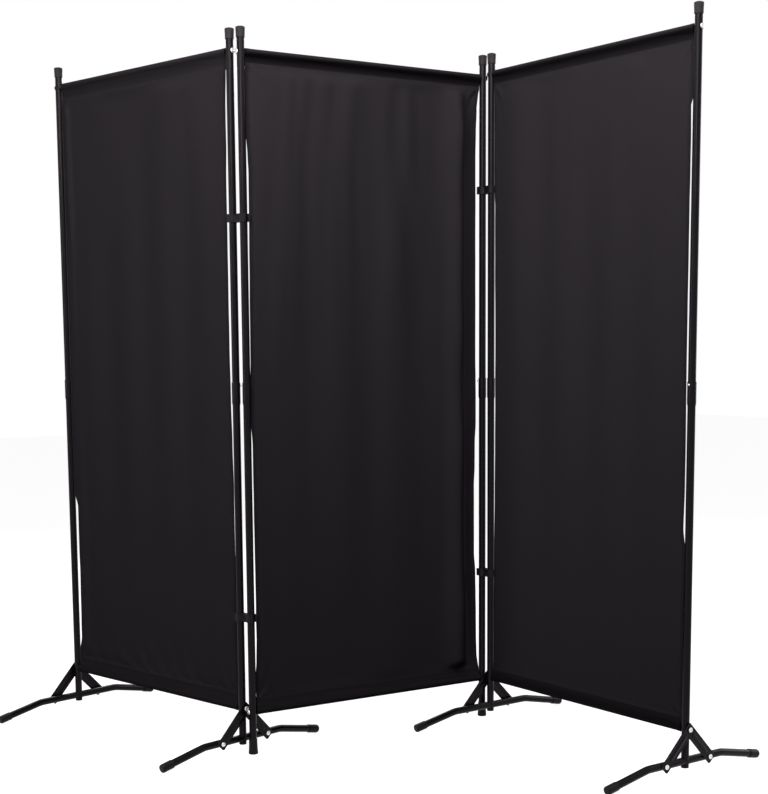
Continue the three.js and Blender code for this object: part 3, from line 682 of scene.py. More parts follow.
def weld_bead(radius=0.9, lumps=9):
    """The lumpy weld where the stub stands on the foot tube."""
    bm, rings = bmesh.new(), []
    for a in angles(48):
        x, y = POST_RADIUS * cos(a), POST_RADIUS * sin(a)
        seat = min(FOOT_AXIS - sqrt(max(0.0, POST_RADIUS ** 2 - x * x)), 36.0)
        lump = 1.0 + 0.12 * sin(lumps * a)
        rings.append([bm.verts.new((x + cos(a) * radius * lump * cos(b), y + sin(a) * radius * lump * cos(b),
                                    seat + radius * lump * sin(b))) for b in angles(8)])
    skin(bm, rings, closed=True)
    return bm


def foot_tube(panel, post, place):
    """The cross tube of a foot, with the stub and the spigot that are welded through it."""
    inside_cap = 3.4
    corners = [foot_end(-1, inside_cap)[0], Vector((0, -FOOT_BEND, FOOT_AXIS)),
               Vector((0, FOOT_BEND, FOOT_AXIS)), foot_end(1, inside_cap)[0]]
    line = line_object("foot line", [place @ c for c in corners], [(0, 1), (1, 2), (2, 3)])
    tube = grown(line, BENT_TUBE, Tube_Radius=POST_RADIUS * MM, Bend_Radius=FOOT_BEND_RADIUS * MM)
    bm = bmesh.new()
    bm.from_mesh(tube.data)
    bpy.data.objects.remove(tube)
    stub = turned(softened([
        (STUB_BORE, 30), (STUB_BORE, STUB_CLEARANCE, 0.4), (POST_RADIUS, STUB_CLEARANCE, 0.6),
        (POST_RADIUS, 31), (8.6, 33), (0, 33)], 0), 48)
    plate = turned([(0, 24), (STUB_BORE, 24), (STUB_BORE, 25), (0, 25)], 48)
    spigot = turned(softened([(8.2, 40), (8.2, 91, 0.8), (7.2, 91, 0.4), (7.2, 48)], 0), 40)
    welded = moved(joined(stub, plate, spigot, weld_bead()), place)
    obj = object_of(f"{post}_cross_foot", joined(bm, welded), BLACK_STEEL, 40)
    return finished(obj, f"{panel}_panel", "black_steel", f"{post}_foot_tube")


def foot_cap(panel, post, place, end, side):
    """A push-on end cap with a rounded nose, worn flat where it stands on the floor."""
    point, outward = foot_end(side)
    radius, rim = FOOT_CAP_RADIUS, -FOOT_CAP_LENGTH
    section = [(0, 0), (7.5, 0, 2), (10.2, -1.2, 2.2), (radius, -4.5, 1.5), (radius, -10, 0),
               (radius, rim + 5, 0), (10.9, rim + 3.5, 0.3), (radius, rim + 2.6, 0.3), (radius, rim, 0.6),
               (PUSHED_BORE, rim, 0.2), (PUSHED_BORE, -3, 0), (0, -3)]
    turn = UP.rotation_difference(outward).to_matrix().to_4x4()
    bm = moved(turned(softened(section, 0), 48), Matrix.Translation(point) @ turn)
    for vert in bm.verts:
        vert.co.z = max(vert.co.z, 0.0)
    return piece(f"{post}_end_cap_{end}", bm, place, BLACK_PLASTIC, f"{panel}_panel", "grey_plastic",
                 f"{post}_foot_cap_{end}")


def brace_place(side, top_seat, bar_height):
    """The strap's own place: X up the strap, Y across it and Z away from the foot."""
    foot = Vector((BRACE_SEAT, side * BRACE_SPREAD, FOOT_AXIS))
    along = Vector((top_seat, 0, bar_height)) - foot
    length = along.length
    up = along.normalized()
    across = Vector((1, 0, 0)).cross(up).normalized()
    turn = Matrix((up, across, up.cross(across))).transposed().to_4x4()
    return Matrix.Translation(foot) @ turn, length


def brace_seat(side):
    """How far from the post's axis a strap's top lies: a foot's two straps lie one over the other there."""
    return UPPER_BRACE_SEAT if side < 0 else BRACE_SEAT


def between(bm, one, other):
    """Faces between two rows of vertices that aren't closed to rings."""
    for k in range(len(one) - 1):
        bm.faces.new((one[k], one[k + 1], other[k + 1], other[k]))


def brace(panel, post, place, end, side):
    """A strap pressed from sheet, with a raised rib down its middle."""
    own, length = brace_place(side, brace_seat(side), BAR_HEIGHTS[panel][0])
    low, high, chamfer = -BRACE_END, length + BRACE_END, 3.0
    rib_start, rib_ease, rib_half, rib_height = 15, 8, 5.2, 1.3
    stations = sorted({low, low + 0.8, low + 1.7, low + chamfer, high - chamfer, high - 1.7, high - 0.8, high}
                      | {low + chamfer + (high - low - 2 * chamfer) * k / 56 for k in range(57)})
    shares = [0.1, 0.2, 0.28, 0.36, 0.44, 0.55, 0.7, 0.86, 1]
    shares = [-share for share in shares[::-1]] + [0] + shares

    def rib(u, v):
        """The rib's height, which fades towards both ends and both sides."""
        climb, fall = (min(1, max(0, way / rib_ease)) for way in (u - rib_start, length - rib_start - u))
        ends = climb * fall
        across = max(0.0, 1 - (abs(v) / rib_half) ** 2.2)
        return rib_height * (3 * ends ** 2 - 2 * ends ** 3) * across

    bm = bmesh.new()
    roof, floor = [], []
    for u in stations:
        inset = max(0.0, chamfer - min(u - low, high - u))
        width = BRACE_HALF_WIDTH - inset * (2 - inset / chamfer) * 0.9
        roof.append([bm.verts.new((u, width * s, BRACE_THICKNESS + rib(u, width * s))) for s in shares])
        floor.append([bm.verts.new((u, width * s, 0.75 * rib(u, width * s))) for s in shares])
    rims = []
    for rows in (roof, floor):
        for one, other in zip(rows, rows[1:]):
            between(bm, one, other)
        rims.append([rows[0], [row[-1] for row in rows], rows[-1][::-1], [row[0] for row in rows][::-1]])
    for upper, lower in zip(*rims):
        between(bm, upper, lower)
    sharp = [e for e in bm.edges if len(e.link_faces) == 2 and e.calc_face_angle(0) > radians(60)]
    bmesh.ops.bevel(bm, geom=sharp, offset=0.35, segments=2, profile=0.6, affect="EDGES")
    return piece(f"{post}_strap_{end}", bm, place @ own, BLACK_STEEL, f"{panel}_panel", "black_steel",
                 f"{post}_brace_{end}", 50)


# Bars and bolts

def cross_bar(panel, level, place):
    bore = BAR_RADIUS - TUBE_WALL
    section = [(BAR_RADIUS, -HALF_BAR, 0.3), (BAR_RADIUS, 0, 0), (BAR_RADIUS, HALF_BAR, 0.3),
               (bore, HALF_BAR, 0.2), (bore, -HALF_BAR, 0.2)]
    bm = turned(softened(section, 0, closed=True), 40, closed=True)
    inner, outer, plug_radius = HALF_BAR - 12, HALF_BAR - 0.6, 6.9
    for end_turn in (pi, 0):
        plug = turned([(0, inner), (plug_radius, inner), (plug_radius, outer), (3.2, outer), (0, outer)], 6)
        bm = joined(bm, moved(plug, Matrix.Rotation(end_turn, 4, "X")))
    height = BAR_HEIGHTS[panel][0 if level == "bottom" else 1]
    return piece(f"{panel}_{level}_rail", bm, place @ Matrix.Translation((0, 0, height)) @ LYING, BLACK_STEEL,
                 f"{panel}_panel", "black_steel", f"{panel}_{level}_bar")


def bolt_pattern():
    """One bolt, standing on its seat along Z: a washer ring that is coloured black, a low zinc dome and a
    six-sided key hole.
    """
    sides = 36
    washer = [(5.2, 0.0), (6.9, 0.0), (7.2, 0.3), (7.2, 0.9), (6.95, 1.2), (6.1, 1.25)]
    dome = [(6.0, 1.35), (6.0, 2.2), (5.7, 2.8), (5.0, 3.3), (4.1, 3.65), (3.1, 3.88)]
    key_hole = [(2.15, 3.9), (2.0, 3.75), (2.0, 2.2)]
    bm = bmesh.new()
    rings = [ring(bm, radius, height, sides) for radius, height in washer + dome]
    for size, height in key_hole:
        spans = [(a, size / cos(a % (pi / 3) - pi / 6)) for a in angles(sides)]
        rings.append([bm.verts.new((r * cos(a), r * sin(a), height)) for a, r in spans])
    black = bm.faces.layers.int.new("washer")
    for number, face in enumerate(skin(bm, rings)):
        face[black] = int(number // sides < len(washer) - 1)
    bm.faces.new(rings[-1])
    bm.faces.new(rings[0][::-1])[black] = 1
    return object_of("bolt pattern", moved(bm, Matrix.Scale(MM, 4)), ZINC, 30)


def bolt_tree():
    """Sets the pattern bolt on every seat point, each turned its own way."""
    made = geometry_tree("bolts on seats", [
        ("Bolt", "Object", None), ("Seed", "Int", 3), ("Size", "Float", 1.0)])
    seats = made.first("GeometryNodeMeshToPoints", {"Mesh": made.given["Geometry"]})
    facing = made.first("GeometryNodeInputNamedAttribute", {"Name": "facing"}, data_type="FLOAT_VECTOR")
    upright = made.first("FunctionNodeAlignRotationToVector", {"Vector": facing}, axis="Z")
    full_turn = 6.283
    chance = made.add("FunctionNodeRandomValue", {"Max": full_turn, "Seed": made.given["Seed"]},
                      data_type="FLOAT").outputs[1]
    spin = made.first("FunctionNodeAxisAngleToRotation", {"Axis": (0, 0, 1), "Angle": chance})
    turn = made.first("FunctionNodeRotateRotation", {"Rotation": upright, "Rotate By": spin},
                      rotation_space="LOCAL")
    pattern = made.add("GeometryNodeObjectInfo", {"Object": made.given["Bolt"]}, transform_space="ORIGINAL")
    set_bolts = made.first("GeometryNodeInstanceOnPoints", {
        "Points": seats, "Instance": pattern.outputs["Geometry"], "Rotation": turn,
        "Scale": made.given["Size"]})
    washers = made.first("GeometryNodeInputNamedAttribute", {"Name": "washer"}, data_type="INT")
    is_washer = made.first("FunctionNodeCompare", {2: washers, 3: 0}, data_type="INT",
                           operation="GREATER_THAN")
    return end_tree(made, set_bolts, ZINC, is_washer, BLACK_STEEL)


def bolt_seats(panel):
    """Each bolt's seat and the way it faces, for the bars' ends and the feet."""
    place = panel_place(panel)
    seats = []
    bottom, top = BAR_HEIGHTS[panel]
    bottom_seat = PUSHED_BORE if panel == "middle" else BRACE_STACK_SEAT
    for side in (-1, 1):
        facing = (place.to_3x3() @ Vector((side, 0, 0))).normalized()
        for height, seat in ((bottom, bottom_seat), (top, PUSHED_BORE)):
            seats.append((place @ Vector((side * (HALF_PANEL + seat), 0, height)), facing))
    if panel != "middle":
        for post in PANELS[panel]:
            for side in (-1, 1):
                strap = post_place(panel, post) @ brace_place(side, brace_seat(side), bottom)[0]
                facing = (strap.to_3x3() @ UP).normalized()
                seats.append((strap @ Vector((0, 0, BRACE_THICKNESS)), facing))
    return seats


def bolts(panel, tree, pattern):
    seats = bolt_seats(panel)
    obj = line_object(f"{panel}_bolts", [point for point, _ in seats], [])
    facing = obj.data.attributes.new("facing", "FLOAT_VECTOR", "POINT")
    for item, (_, way) in zip(facing.data, seats):
        item.vector = way
    grown(obj, tree, Bolt=pattern, Seed=7)
    return finished(obj, f"{panel}_panel", "spring_steel")


# Hinge clips

def clip_outline():
    """Two open rings back to back, with flared lips at both mouths."""
    def arc(centre, radius, start, end, steps):
        turns = [radians(start + (end - start) * k / steps) for k in range(steps + 1)]
        return [(centre + radius * cos(a), radius * sin(a), 0) for a in turns]

    far, near = HINGE_PITCH, 0
    web = degrees(asin(CLIP_WEB / CLIP_RADIUS))
    flank = CLIP_RADIUS * cos(radians(web)) + 2.2
    lip, tip, lip_aside, tip_aside = 11.2, 13.6, 11.0, 8.6
    upper = arc(far, CLIP_RADIUS, 180 - web - 6, 46, 14)
    upper += [(far + lip, lip_aside, 0.9), (far + tip, tip_aside, 1.0)] + arc(far, CLIP_BORE, 40, 320, 44)
    upper += [(far + tip, -tip_aside, 1.0), (far + lip, -lip_aside, 0.9)]
    upper += arc(far, CLIP_RADIUS, -46, -180 + web + 6, 14)
    lower = arc(near, CLIP_RADIUS, -web - 6, -134, 14)
    lower += [(-lip, -lip_aside, 0.9), (-tip, -tip_aside, 1.0)] + arc(near, CLIP_BORE, -140, 140, 44)
    lower += [(-tip, tip_aside, 1.0), (-lip, lip_aside, 0.9)] + arc(near, CLIP_RADIUS, 134, web + 6, 14)
    web_low = [(far - flank, -CLIP_WEB, 0.8), (flank, -CLIP_WEB, 0.8)]
    web_high = [(flank, CLIP_WEB, 0.8), (far - flank, CLIP_WEB, 0.8)]
    return softened(upper + web_low + lower + web_high, 0, closed=True, steps=3)


def hinge_clip(side, level, height):
    """A clip about both posts, with a recess in each face of its web."""
    first, second = (AXES[post] for post in HINGES[side])
    place = placed(first, second - first)
    half = CLIP_HEIGHT / 2
    bm = extruded(clip_outline()[::-1], height - half, height + half, 0.9)
    obj = object_of(f"{side}_hinge_clip_{level}", moved(bm, place), BLACK_PLASTIC, 40)
    recess = softened([(13.4, -5.5), (20.6, -5.5), (20.6, 5.5), (13.4, 5.5)], 2.6, closed=True, steps=6)
    for way in (-1, 1):
        face = Matrix.Translation((0, way * (CLIP_WEB - 1.1), height))
        tool = moved(extruded(recess, 0, 4), place @ face @ Matrix.Rotation(-way * pi / 2, 4, "X"))
        cut(obj, object_of("recess", tool, BLACK_PLASTIC))
    return finished(obj, f"{side}_clips", "black_plastic", f"{side}_clip_{level}")


# Cloth

def eased(value, low, high):
    t = np.clip((value - low) / (high - low), 0, 1)
    return t * t * (3 - 2 * t)


def hump(value, centre, width):
    return np.exp(-((value - centre) / width) ** 2)


def wander(x, y, scale, seed):
    """Slow noise over a plane, from -1 to 1."""
    points = zip(np.ravel(x), np.ravel(y))
    values = [noise.noise(Vector((a * scale, b * scale, seed))) for a, b in points]
    return np.array(values).reshape(np.shape(x)) * 1.6


def edge_line(post, height):
    """Distance from the post and curl of the cloth's edge, eased between the listed heights."""
    levels, distances, curls = (np.array(column, float) for column in zip(*CLOTH_EDGES[post]))
    k = np.clip(np.searchsorted(levels, height, side="right") - 1, 0, len(levels) - 2)
    t = eased(height, levels[k], levels[k + 1])
    return (distances[k] * (1 - t) + distances[k + 1] * t), (curls[k] * (1 - t) + curls[k + 1] * t)


def seams(panel):
    """Heights of the lower and the upper seam."""
    bottom, top = BAR_HEIGHTS[panel]
    return bottom + SEAM_DROPS[panel][0], top - SEAM_DROPS[panel][1]


def sleeve_section(way, drop):
    """One sleeve, from the hem behind the seam round the bar to the seam: depth and height from the bar."""
    radius, sink, hug, start = 9.2, -0.8, 0.8, 1.3
    back = [(1.15, -drop - 9), (1.15, -drop - 5), (1.05, -drop - 1), (start, -drop + 2)]
    off_depth, off_height = radius * cos(hug), sink - radius * sin(hug)
    climb = [(start + (off_depth - start) * t ** 1.8, -drop + 2 + (off_height + drop - 2) * t)
             for t in (0.15, 0.3, 0.45, 0.6, 0.75, 0.88)]
    round_bar = [(radius * cos(a), sink + radius * sin(a)) for a in np.linspace(-hug, pi + hug, 25)]
    fall = [(-off_depth * (1 - t) ** 1.8, off_height + (-drop - off_height) * t)
            for t in (0.12, 0.25, 0.38, 0.5, 0.62, 0.75, 0.88, 0.95)]
    return [(y, way * z) for y, z in back + climb + round_bar + fall]


def cloth_rows(panel):
    """Down the whole cloth: depth, height and length so far."""
    bottom, top = BAR_HEIGHTS[panel]
    last, first = seams(panel)
    upper = [(y, top + z) for y, z in sleeve_section(1, top - first)]
    lower = [(y, bottom + z) for y, z in sleeve_section(-1, last - bottom)][::-1]
    near = [0, 1, 2.5, 4.5, 7, 10, 14, 19, 25, 32, 40]
    body = [first - step for step in near] + list(np.linspace(first - 48, last + 48, 236)) + [
        last + step for step in near[::-1]]
    depth, height = np.array(upper + [(0.0, z) for z in body] + lower, float).T
    lengths = np.concatenate([[0], np.cumsum(np.hypot(np.diff(depth), np.diff(height)))])
    return depth, height, lengths


def streaks(x, z, width, drift, seed):
    """Long soft folds that run down the cloth and wander a little sideways."""
    sway = wander(x, z, 0.0021, seed + 9) * drift
    return wander((x + sway) / width, z / (width * 7), 1.0, seed)


def pulled_corners(x, from_top, from_bottom, seed):
    """Fans of creases that run from the four corners into the sheet."""
    pull = 0
    for side in (-1, 1):
        for down, strength in ((from_top, 1.0), (from_bottom, 0.8)):
            across = HALF_CLOTH - side * x
            for lean, wide, far, deep in ((0.62, 5.5, 60, 2.3), (0.38, 7.5, 95, 1.9), (0.86, 6.5, 48, 1.6)):
                rise = sqrt(1 - lean ** 2)
                along, off = across * lean + down * rise, across * rise - down * lean
                wave = np.cos(2 * np.pi * off / (wide * 4) + lean * 9 + seed)
                pull = pull + 0.75 * strength * deep * wave * np.exp(-along / far) * hump(
                    off, 0, wide * 2.6) * eased(down, 0, 9) * eased(across, 0, 6)
    return pull


def folds(panel, x, z):
    """How far the cloth stands behind the panel's own plane, in its belly, soft folds and pulled corners."""
    last, first = seams(panel)
    share = np.clip(x / HALF_CLOTH, -1, 1)
    level = np.clip((z - (first + last) / 2) / (first - last), -0.5, 0.5)
    seed = {"middle": 2.3, "left": 11.7, "right": 23.1}[panel]
    broad, narrow = {"middle": (7.0, 2.8), "left": (2.6, 0.8), "right": (3.0, 0.9)}[panel]
    from_top, from_bottom = np.clip(first - z, 0, None), np.clip(z - last, 0, None)
    sheet_part = eased(from_top, 0, 34) * eased(from_bottom, 0, 34)
    lively = 0.14 + 0.86 * eased(level, -0.05, 0.5)
    flat_edge = 1 - share ** 8

    # The belly, the long folds and the broad unevenness of the whole sheet
    stand = (1 - share ** 2) * np.cos(np.pi * level) * (6 + 3.5 * np.cos(4 * np.pi * share) * (1 + level))
    stand += sheet_part * flat_edge * lively * (
        broad * streaks(x, z, 110.0, 40, seed) + narrow * streaks(x, z, 40.0, 26, seed + 3))
    stand += sheet_part * flat_edge * 2.4 * wander(x, z * 0.4, 0.0055, seed + 5)
    stand += pulled_corners(x, from_top, from_bottom, seed)

    # Puckers below and above the seams
    pucker = np.cos((x + 6 * wander(x, z * 0.2, 0.02, seed)) * 2 * np.pi / 21)
    stand += 0.5 * pucker * (0.5 + 0.5 * wander(x, z * 0.1, 0.013, seed + 1)) * (
        np.exp(-from_top / 20) * eased(from_top, 0, 6) + np.exp(-from_bottom / 26) * eased(from_bottom, 0, 6))

    from_low, from_high = HALF_CLOTH + x, HALF_CLOTH - x
    if panel == "middle":
        # The ridge that shades the right edge, a swelling over the lower right corner and a ridge on the left
        ridge = hump(from_high, 72, 26) * sheet_part
        stand -= (19.0 + 6.0 * eased(level, 0.2, 0.5)) * ridge * (1 + 0.3 * wander(x * 0, z, 0.006, 8.0))
        stand -= 7.0 * hump(x, 275, 48) * hump(z, 300, 130) * flat_edge
        stand -= 3.2 * hump(from_low, 46, 22) * sheet_part * eased(level, 0.1, 0.45)
    if panel == "left":
        # Slanting ruffles over the lower seam, and two ridges beside the outer edge
        ruffle = np.cos((x * 0.9 + z * 0.5 + 20 * wander(x, z, 0.01, 4.0)) * 2 * np.pi / 64)
        stand += 1.9 * ruffle * np.exp(-from_bottom / 45) * eased(from_bottom, 0, 12) * flat_edge
        stand -= 5.0 * hump(from_low, 34, 17) * eased(-level, -0.05, 0.3) * sheet_part
        stand -= (2.5 + 5.5 * eased(level, 0.2, 0.34)) * sheet_part * hump(
            from_low, 23, 8) * eased(level, -0.1, 0.2)
    return stand


def cloth_surface(panel, across, depth, height):
    """Points of the cloth's middle layer for shares across it and rows down it."""
    bottom, top = BAR_HEIGHTS[panel]
    low_post, high_post = PANELS[panel]
    low_edge, low_curl = edge_line(low_post, height)
    high_edge, high_curl = edge_line(high_post, height)
    share = (across + 1) / 2
    left, right = -HALF_PANEL + low_edge[:, None], HALF_PANEL - high_edge[:, None]
    z = np.repeat(height[:, None], len(across), 1)
    last, first = seams(panel)
    in_sheet = eased(np.minimum(first - height, height - last), -14, 26)[:, None]
    waver = 0.45 * wander(np.zeros_like(z), z, 0.011, 3.0 + len(panel))
    x = left * (1 - share) + right * share + in_sheet * waver * (1 - 2 * share)
    from_low = np.clip((x - left) / CURL_WIDTH[low_post], 0, 1)
    from_high = np.clip((right - x) / CURL_WIDTH[high_post], 0, 1)
    curl = low_curl[:, None] * (1 - from_low) ** 1.3 + high_curl[:, None] * (1 - from_high) ** 1.3
    y = depth[:, None] + (folds(panel, x, z) + curl) * in_sheet

    # Creases in the sleeves, along the bar and fanned out at its ends, where the cloth is off the bar
    seed = 31.0 + len(panel)
    side = np.sign(np.where(np.abs(depth) > 0.01, depth, 0))[:, None]
    along_bar = 1.1 * wander(x * 0.16, (z + 40 * side) * 1.0 + x * 0.03, 0.05, seed)
    fanned = 0.9 * np.cos((z - top) * 2 * np.pi / 13 + x / 31 + 3 * wander(x, z, 0.006, seed + 2))
    near_ends = 0.35 + 0.65 * np.maximum(np.exp(-(x - left) / 80), np.exp(-(right - x) / 80))
    from_bar = np.minimum(np.abs(height - top), np.abs(height - bottom))
    off_bar = eased(np.abs(depth), 0.6, 5)[:, None] * eased(from_bar, 3, 12)[:, None]
    y = y + side * (along_bar + fanned * near_ends) * off_bar
    return np.stack([x, y, z], -1)


def painted_sleeve_shade(panel, depth, height):
    """How much painted shade the sleeves get, standing in for less light coming through their two layers; the
    most where the cloth leaves the bar.
    """
    bottom, top = BAR_HEIGHTS[panel]
    lower, upper = SLEEVE_SHADE[panel]
    is_upper = height > SCREEN_HEIGHT / 2
    past_bar = np.where(is_upper, top - height, height - bottom)
    strength = np.where(is_upper, upper, lower) * (np.abs(depth) > 0.01)
    return strength * (0.2 + 0.8 * eased(past_bar, -4, 3)) * (1 - 0.35 * eased(past_bar, 8, 24))


def spread_across():
    """Shares across the cloth, closer together in the side hems."""
    hem = [0, 1.2, 3, 5.5, 8, 9.6, 10.6, 11.6, 13.5, 17, 22]
    edge = [s / HALF_CLOTH - 1 for s in hem]
    inner = list(np.linspace(edge[-1], -edge[-1], 118))[1:-1]
    return np.array(edge + inner + [-s for s in edge[::-1]])


def cloth_panel(panel, place):
    """One length of cloth, turned over both bars and sewn to itself, with hemmed sides."""
    depth, height, lengths = cloth_rows(panel)
    across = spread_across()
    centre = cloth_surface(panel, across, depth, height)
    rows, columns, _ = centre.shape
    normal = np.cross(np.gradient(centre, axis=0), np.gradient(centre, axis=1))
    normal /= np.linalg.norm(normal, axis=2, keepdims=True)
    from_edge = (1 - np.abs(across)) * HALF_CLOTH
    hem = 1 - eased(from_edge, HEM_WIDTH - 1.4, HEM_WIDTH)
    thickness = CLOTH_THICKNESS + (HEM_THICKNESS - CLOTH_THICKNESS) * hem
    thickness = np.where(from_edge < 0.5, thickness * 0.55, thickness)
    half = normal * thickness[None, :, None] / 2
    points = np.concatenate([(centre + half).reshape(-1, 3), (centre - half).reshape(-1, 3)])
    count = rows * columns
    index = np.arange(count).reshape(rows, columns)
    quads = np.stack([index[:-1, :-1], index[:-1, 1:], index[1:, 1:], index[1:, :-1]], -1).reshape(-1, 4)
    rim = np.concatenate([index[0, :-1], index[:-1, -1], index[-1, :0:-1], index[:0:-1, 0]])
    ahead = np.roll(rim, -1)
    walls = np.stack([rim, rim + count, ahead + count, ahead], -1)
    faces = np.concatenate([quads[:, ::-1], quads + count, walls])
    mesh = bpy.data.meshes.new(f"{panel}_fabric")
    world = np.array(place)
    points = points @ world[:3, :3].T + world[:3, 3]
    mesh.from_pydata(points.tolist(), [], faces.tolist())
    lengths_across = centre[:, :, 0] * MM
    lengths_down = np.repeat(lengths[:, None], columns, 1) * MM
    plane = np.tile(np.stack([lengths_across, lengths_down], -1).reshape(-1, 2), (2, 1))
    corner = np.array([loop.vertex_index for loop in mesh.loops])
    # Painted shade for the cloth's colour: the sleeves' share, and 0.35 in the side hems, for less light
    # coming through two layers
    painted_shade_amount = np.maximum(painted_sleeve_shade(panel, depth, height)[:, None], 0.35 * hem[None, :])
    mesh.attributes.new("painted_layer_shade", "FLOAT", "POINT").data.foreach_set("value", np.tile(painted_shade_amount.ravel(), 2))
    mesh.uv_layers.new(name="cloth lengths").data.foreach_set("uv", plane[corner].ravel())
    bm = bmesh.new()
    bm.from_mesh(mesh)
    bmesh.ops.recalc_face_normals(bm, faces=bm.faces)
    bm.to_mesh(mesh)
    bm.free()
    mesh.shade_smooth()
    mesh.materials.append(BLACK_CLOTH)
    obj = linked(f"{panel}_fabric", mesh)
    return finished(obj, f"{panel}_panel", "black_cloth", f"{panel}_cloth"), float(lengths[-1])


def stitch_tree():
    """Short stitches laid end to end along every seam line."""
    made = geometry_tree("rows of stitches", [
        ("Stitch Length", "Float", 0.0042), ("Thread Radius", "Float", 0.00028), ("Seed", "Int", 5)])
    stitch, thread_radius = made.given["Stitch Length"], made.given["Thread Radius"]
    line = made.first("GeometryNodeMeshToCurve", {"Mesh": made.given["Geometry"]})
    spots = made.first("GeometryNodeResampleCurve", {"Curve": line, "Length": stitch}, mode="LENGTH")
    tangent = made.first("GeometryNodeInputTangent")
    aligned = made.first("FunctionNodeAlignRotationToVector", {"Vector": tangent}, axis="Z")
    thread = made.first("GeometryNodeMeshUVSphere", {"Segments": 6, "Rings": 4, "Radius": thread_radius})
    stretch = made.math("DIVIDE", made.math("MULTIPLY", stitch, 0.42), thread_radius)
    uneven = made.add("FunctionNodeRandomValue", {2: 0.88, 3: 1.08, "Seed": made.given["Seed"]},
                      data_type="FLOAT").outputs[1]
    drawn_out = made.math("MULTIPLY", stretch, uneven)
    scale = made.first("ShaderNodeCombineXYZ", {"X": 1.0, "Y": 1.0, "Z": drawn_out})
    laid = made.first("GeometryNodeInstanceOnPoints", {
        "Points": spots, "Instance": thread, "Rotation": aligned, "Scale": scale})
    return end_tree(made, laid, BLACK_THREAD)


def stitches(panel, place, tree):
    """Two rows along each sleeve's seam and one along each side hem, on both faces."""
    last, first = seams(panel)
    points, edges = [], []

    def lay(line, lift, behind=0.0):
        """A row on the front and one on the back, which lies further out behind a sleeve's hem."""
        for face, more in ((-1, 0.0), (1, behind)):
            start = len(points)
            points.extend(place @ Vector((x, y + face * lift + more, z)) for x, y, z in line)
            edges.extend((k, k + 1) for k in range(start, len(points) - 1))

    inner_row, outer_row, hem_row = 0.6, 5.6, 8.4
    seam_across = np.linspace(-0.985, 0.985, 90)
    for height in (first - inner_row, first - outer_row, last + inner_row, last + outer_row):
        lay(cloth_surface(panel, seam_across, np.zeros(1), np.array([height]))[0], 0.86, 0.95)
    heights = np.linspace(first - 8, last + 8, 260)
    hem_stitch = 1 - hem_row / HALF_CLOTH
    for across in (-hem_stitch, hem_stitch):
        column = cloth_surface(panel, np.array([across]), np.zeros_like(heights), heights)[:, 0]
        lay(column, HEM_THICKNESS / 2 + 0.02)
    obj = line_object(f"{panel}_stitching", points, edges)
    grown(obj, tree, Stitch_Length=0.0042)
    return finished(obj, f"{panel}_panel", "black_cloth")


# The screen

def make_posts_and_feet():
    for panel, posts in PANELS.items():
        for post in posts:
            place = post_place(panel, post)
            lower_tube(panel, post, place)
            upper_tube(panel, post, place)
            post_cap(panel, post, place)
            snap_button(post, place)
            if panel == "middle":
                floor_plug(post, place)
                continue
            foot_tube(panel, post, place)
            for end, side in (("a", -1), ("b", 1)):
                foot_cap(panel, post, place, end, side)
                brace(panel, post, place, end, side)


def make_bars_and_bolts():
    pattern, tree = bolt_pattern(), bolt_tree()
    for panel in PANELS:
        for level in ("bottom", "top"):
            cross_bar(panel, level, panel_place(panel))
        bolts(panel, tree, pattern)
    bpy.data.objects.remove(pattern)


def make_cloth():
    tree = stitch_tree()
    for panel in PANELS:
        place = panel_place(panel)
        fabric, cut_length = cloth_panel(panel, place)
        sewing = stitches(panel, place, tree)


make_posts_and_feet()
make_bars_and_bolts()
for hinge, levels in CLIP_LEVELS.items():
    for level, height in zip(("lower", "upper"), levels):
        hinge_clip(hinge, level, height)
make_cloth()


# Studio

def studio_tree(owner):
    owner.use_nodes = True
    tree = Tree(owner.node_tree)
    tree.tree.nodes.clear()
    return tree


def show_white(tree, output, quiet, white):
    """White where the camera or a mirror looks, quiet where soft light is gathered."""
    rays = tree.add("ShaderNodeLightPath").outputs
    seen = tree.math("MAXIMUM", rays["Is Camera Ray"], rays["Is Glossy Ray"])
    seen = tree.math("MAXIMUM", seen, rays["Is Transmission Ray"])
    tree.add(output, {"Surface": tree.first("ShaderNodeMixShader", {0: seen, 1: quiet, 2: white})})


def white_floor():
    mesh = bpy.data.meshes.new("studio_floor")
    half = 14.0
    mesh.from_pydata([(-half, -half, 0), (half, -half, 0), (half, half, 0), (-half, half, 0)], [],
                     [(0, 1, 2, 3)])
    floor = linked("studio_floor", mesh)
    material = bpy.data.materials.new("white studio floor")
    tree = studio_tree(material)
    paper = tree.first("ShaderNodeBsdfDiffuse", {"Color": (0.42, 0.42, 0.42, 1)})
    glow = tree.first("ShaderNodeEmission", {"Color": (1, 1, 1, 1), "Strength": 0.93})
    quiet = tree.first("ShaderNodeBsdfDiffuse", {"Color": (0.06, 0.06, 0.06, 1)})
    white = tree.first("ShaderNodeAddShader", {0: paper, 1: glow})
    show_white(tree, "ShaderNodeOutputMaterial", quiet, white)
    mesh.materials.append(material)


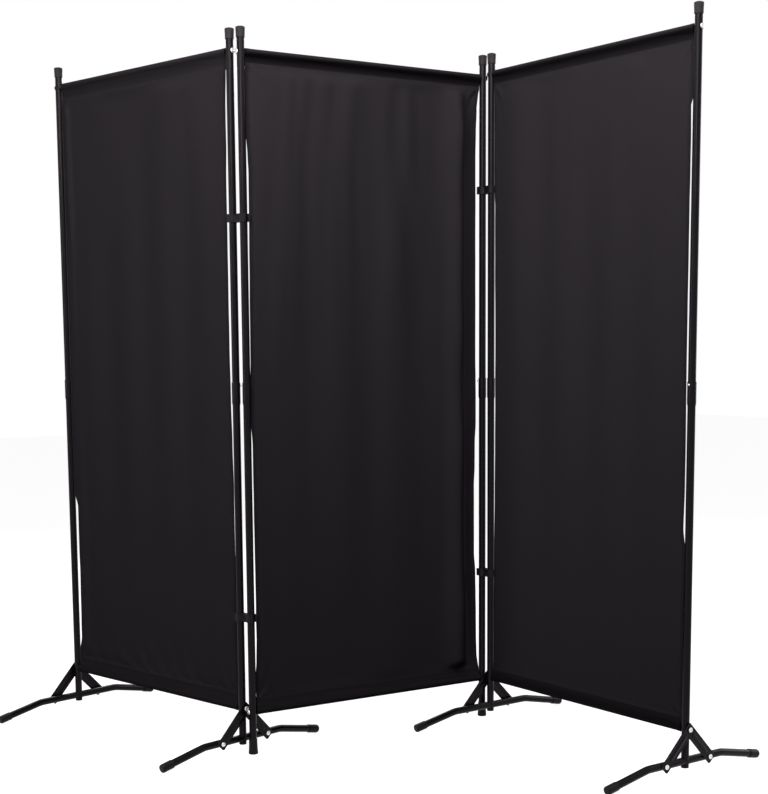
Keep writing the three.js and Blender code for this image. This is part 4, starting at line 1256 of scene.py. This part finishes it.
def white_world():
    world = bpy.data.worlds.new("white studio")
    bpy.context.scene.world = world
    tree = studio_tree(world)
    quiet, white = (tree.first("ShaderNodeBackground", {"Color": (1, 1, 1, 1), "Strength": strength})
                    for strength in (0.08, 1.0))
    show_white(tree, "ShaderNodeOutputWorld", quiet, white)


def softbox(name, place, target, width, height, power, spread=180):
    light = bpy.data.lights.new(name, "AREA")
    light.spread = radians(spread)
    light.shape = "RECTANGLE"
    light.size, light.size_y, light.energy = width, height, power
    obj = linked(name, light)
    obj.location = place
    obj.rotation_euler = (Vector(target) - Vector(place)).to_track_quat("-Z", "Y").to_euler()
    obj.visible_camera = False


def photo_camera():
    """Stands where the photo was taken from, looking a little down, with the frame shifted up the screen."""
    origin = (AXES["middle_left"] + AXES["middle_right"]) / 2
    yaw, pitch, roll = (radians(a) for a in (32.045, -7.132, -0.405))
    ahead = Vector((sin(yaw) * cos(pitch), cos(yaw) * cos(pitch), sin(pitch)))
    level = Vector((cos(yaw), -sin(yaw), 0))
    over = level.cross(ahead)
    right = cos(roll) * level + sin(roll) * over
    up = -sin(roll) * level + cos(roll) * over
    camera = bpy.data.cameras.new("photo camera")
    camera.lens, camera.sensor_width, camera.sensor_fit = 67.375, 36.0, "AUTO"
    camera.shift_y = 0.17213
    obj = linked("photo camera", camera)
    turn = Matrix((right, up, -ahead)).transposed().to_4x4()
    obj.matrix_world = Matrix.Translation(origin + Vector((-2.0393, -3.3203, 1.0287))) @ turn
    bpy.context.scene.camera = obj


white_floor()
white_world()
softbox("overhead softbox", (-0.65, -1.05, 2.55), (0.0, 0.0, 1.3), 1.9, 0.7, 40)
softbox("front softbox", (-2.8, -2.8, 2.5), (0.0, 0.0, 1.5), 2.4, 1.0, 12, 75)
softbox("left strip light", (-3.3, 0.4, 1.55), (-0.3, 0.0, 1.1), 0.35, 1.8, 23)
softbox("right strip light", (3.3, -0.9, 1.6), (0.4, -0.2, 1.0), 0.5, 1.8, 22)
softbox("rear softbox", (1.3, 3.2, 2.9), (0.0, 0.0, 1.1), 2.6, 1.4, 75)
photo_camera()
bpy.context.scene.view_settings.view_transform = "Standard"
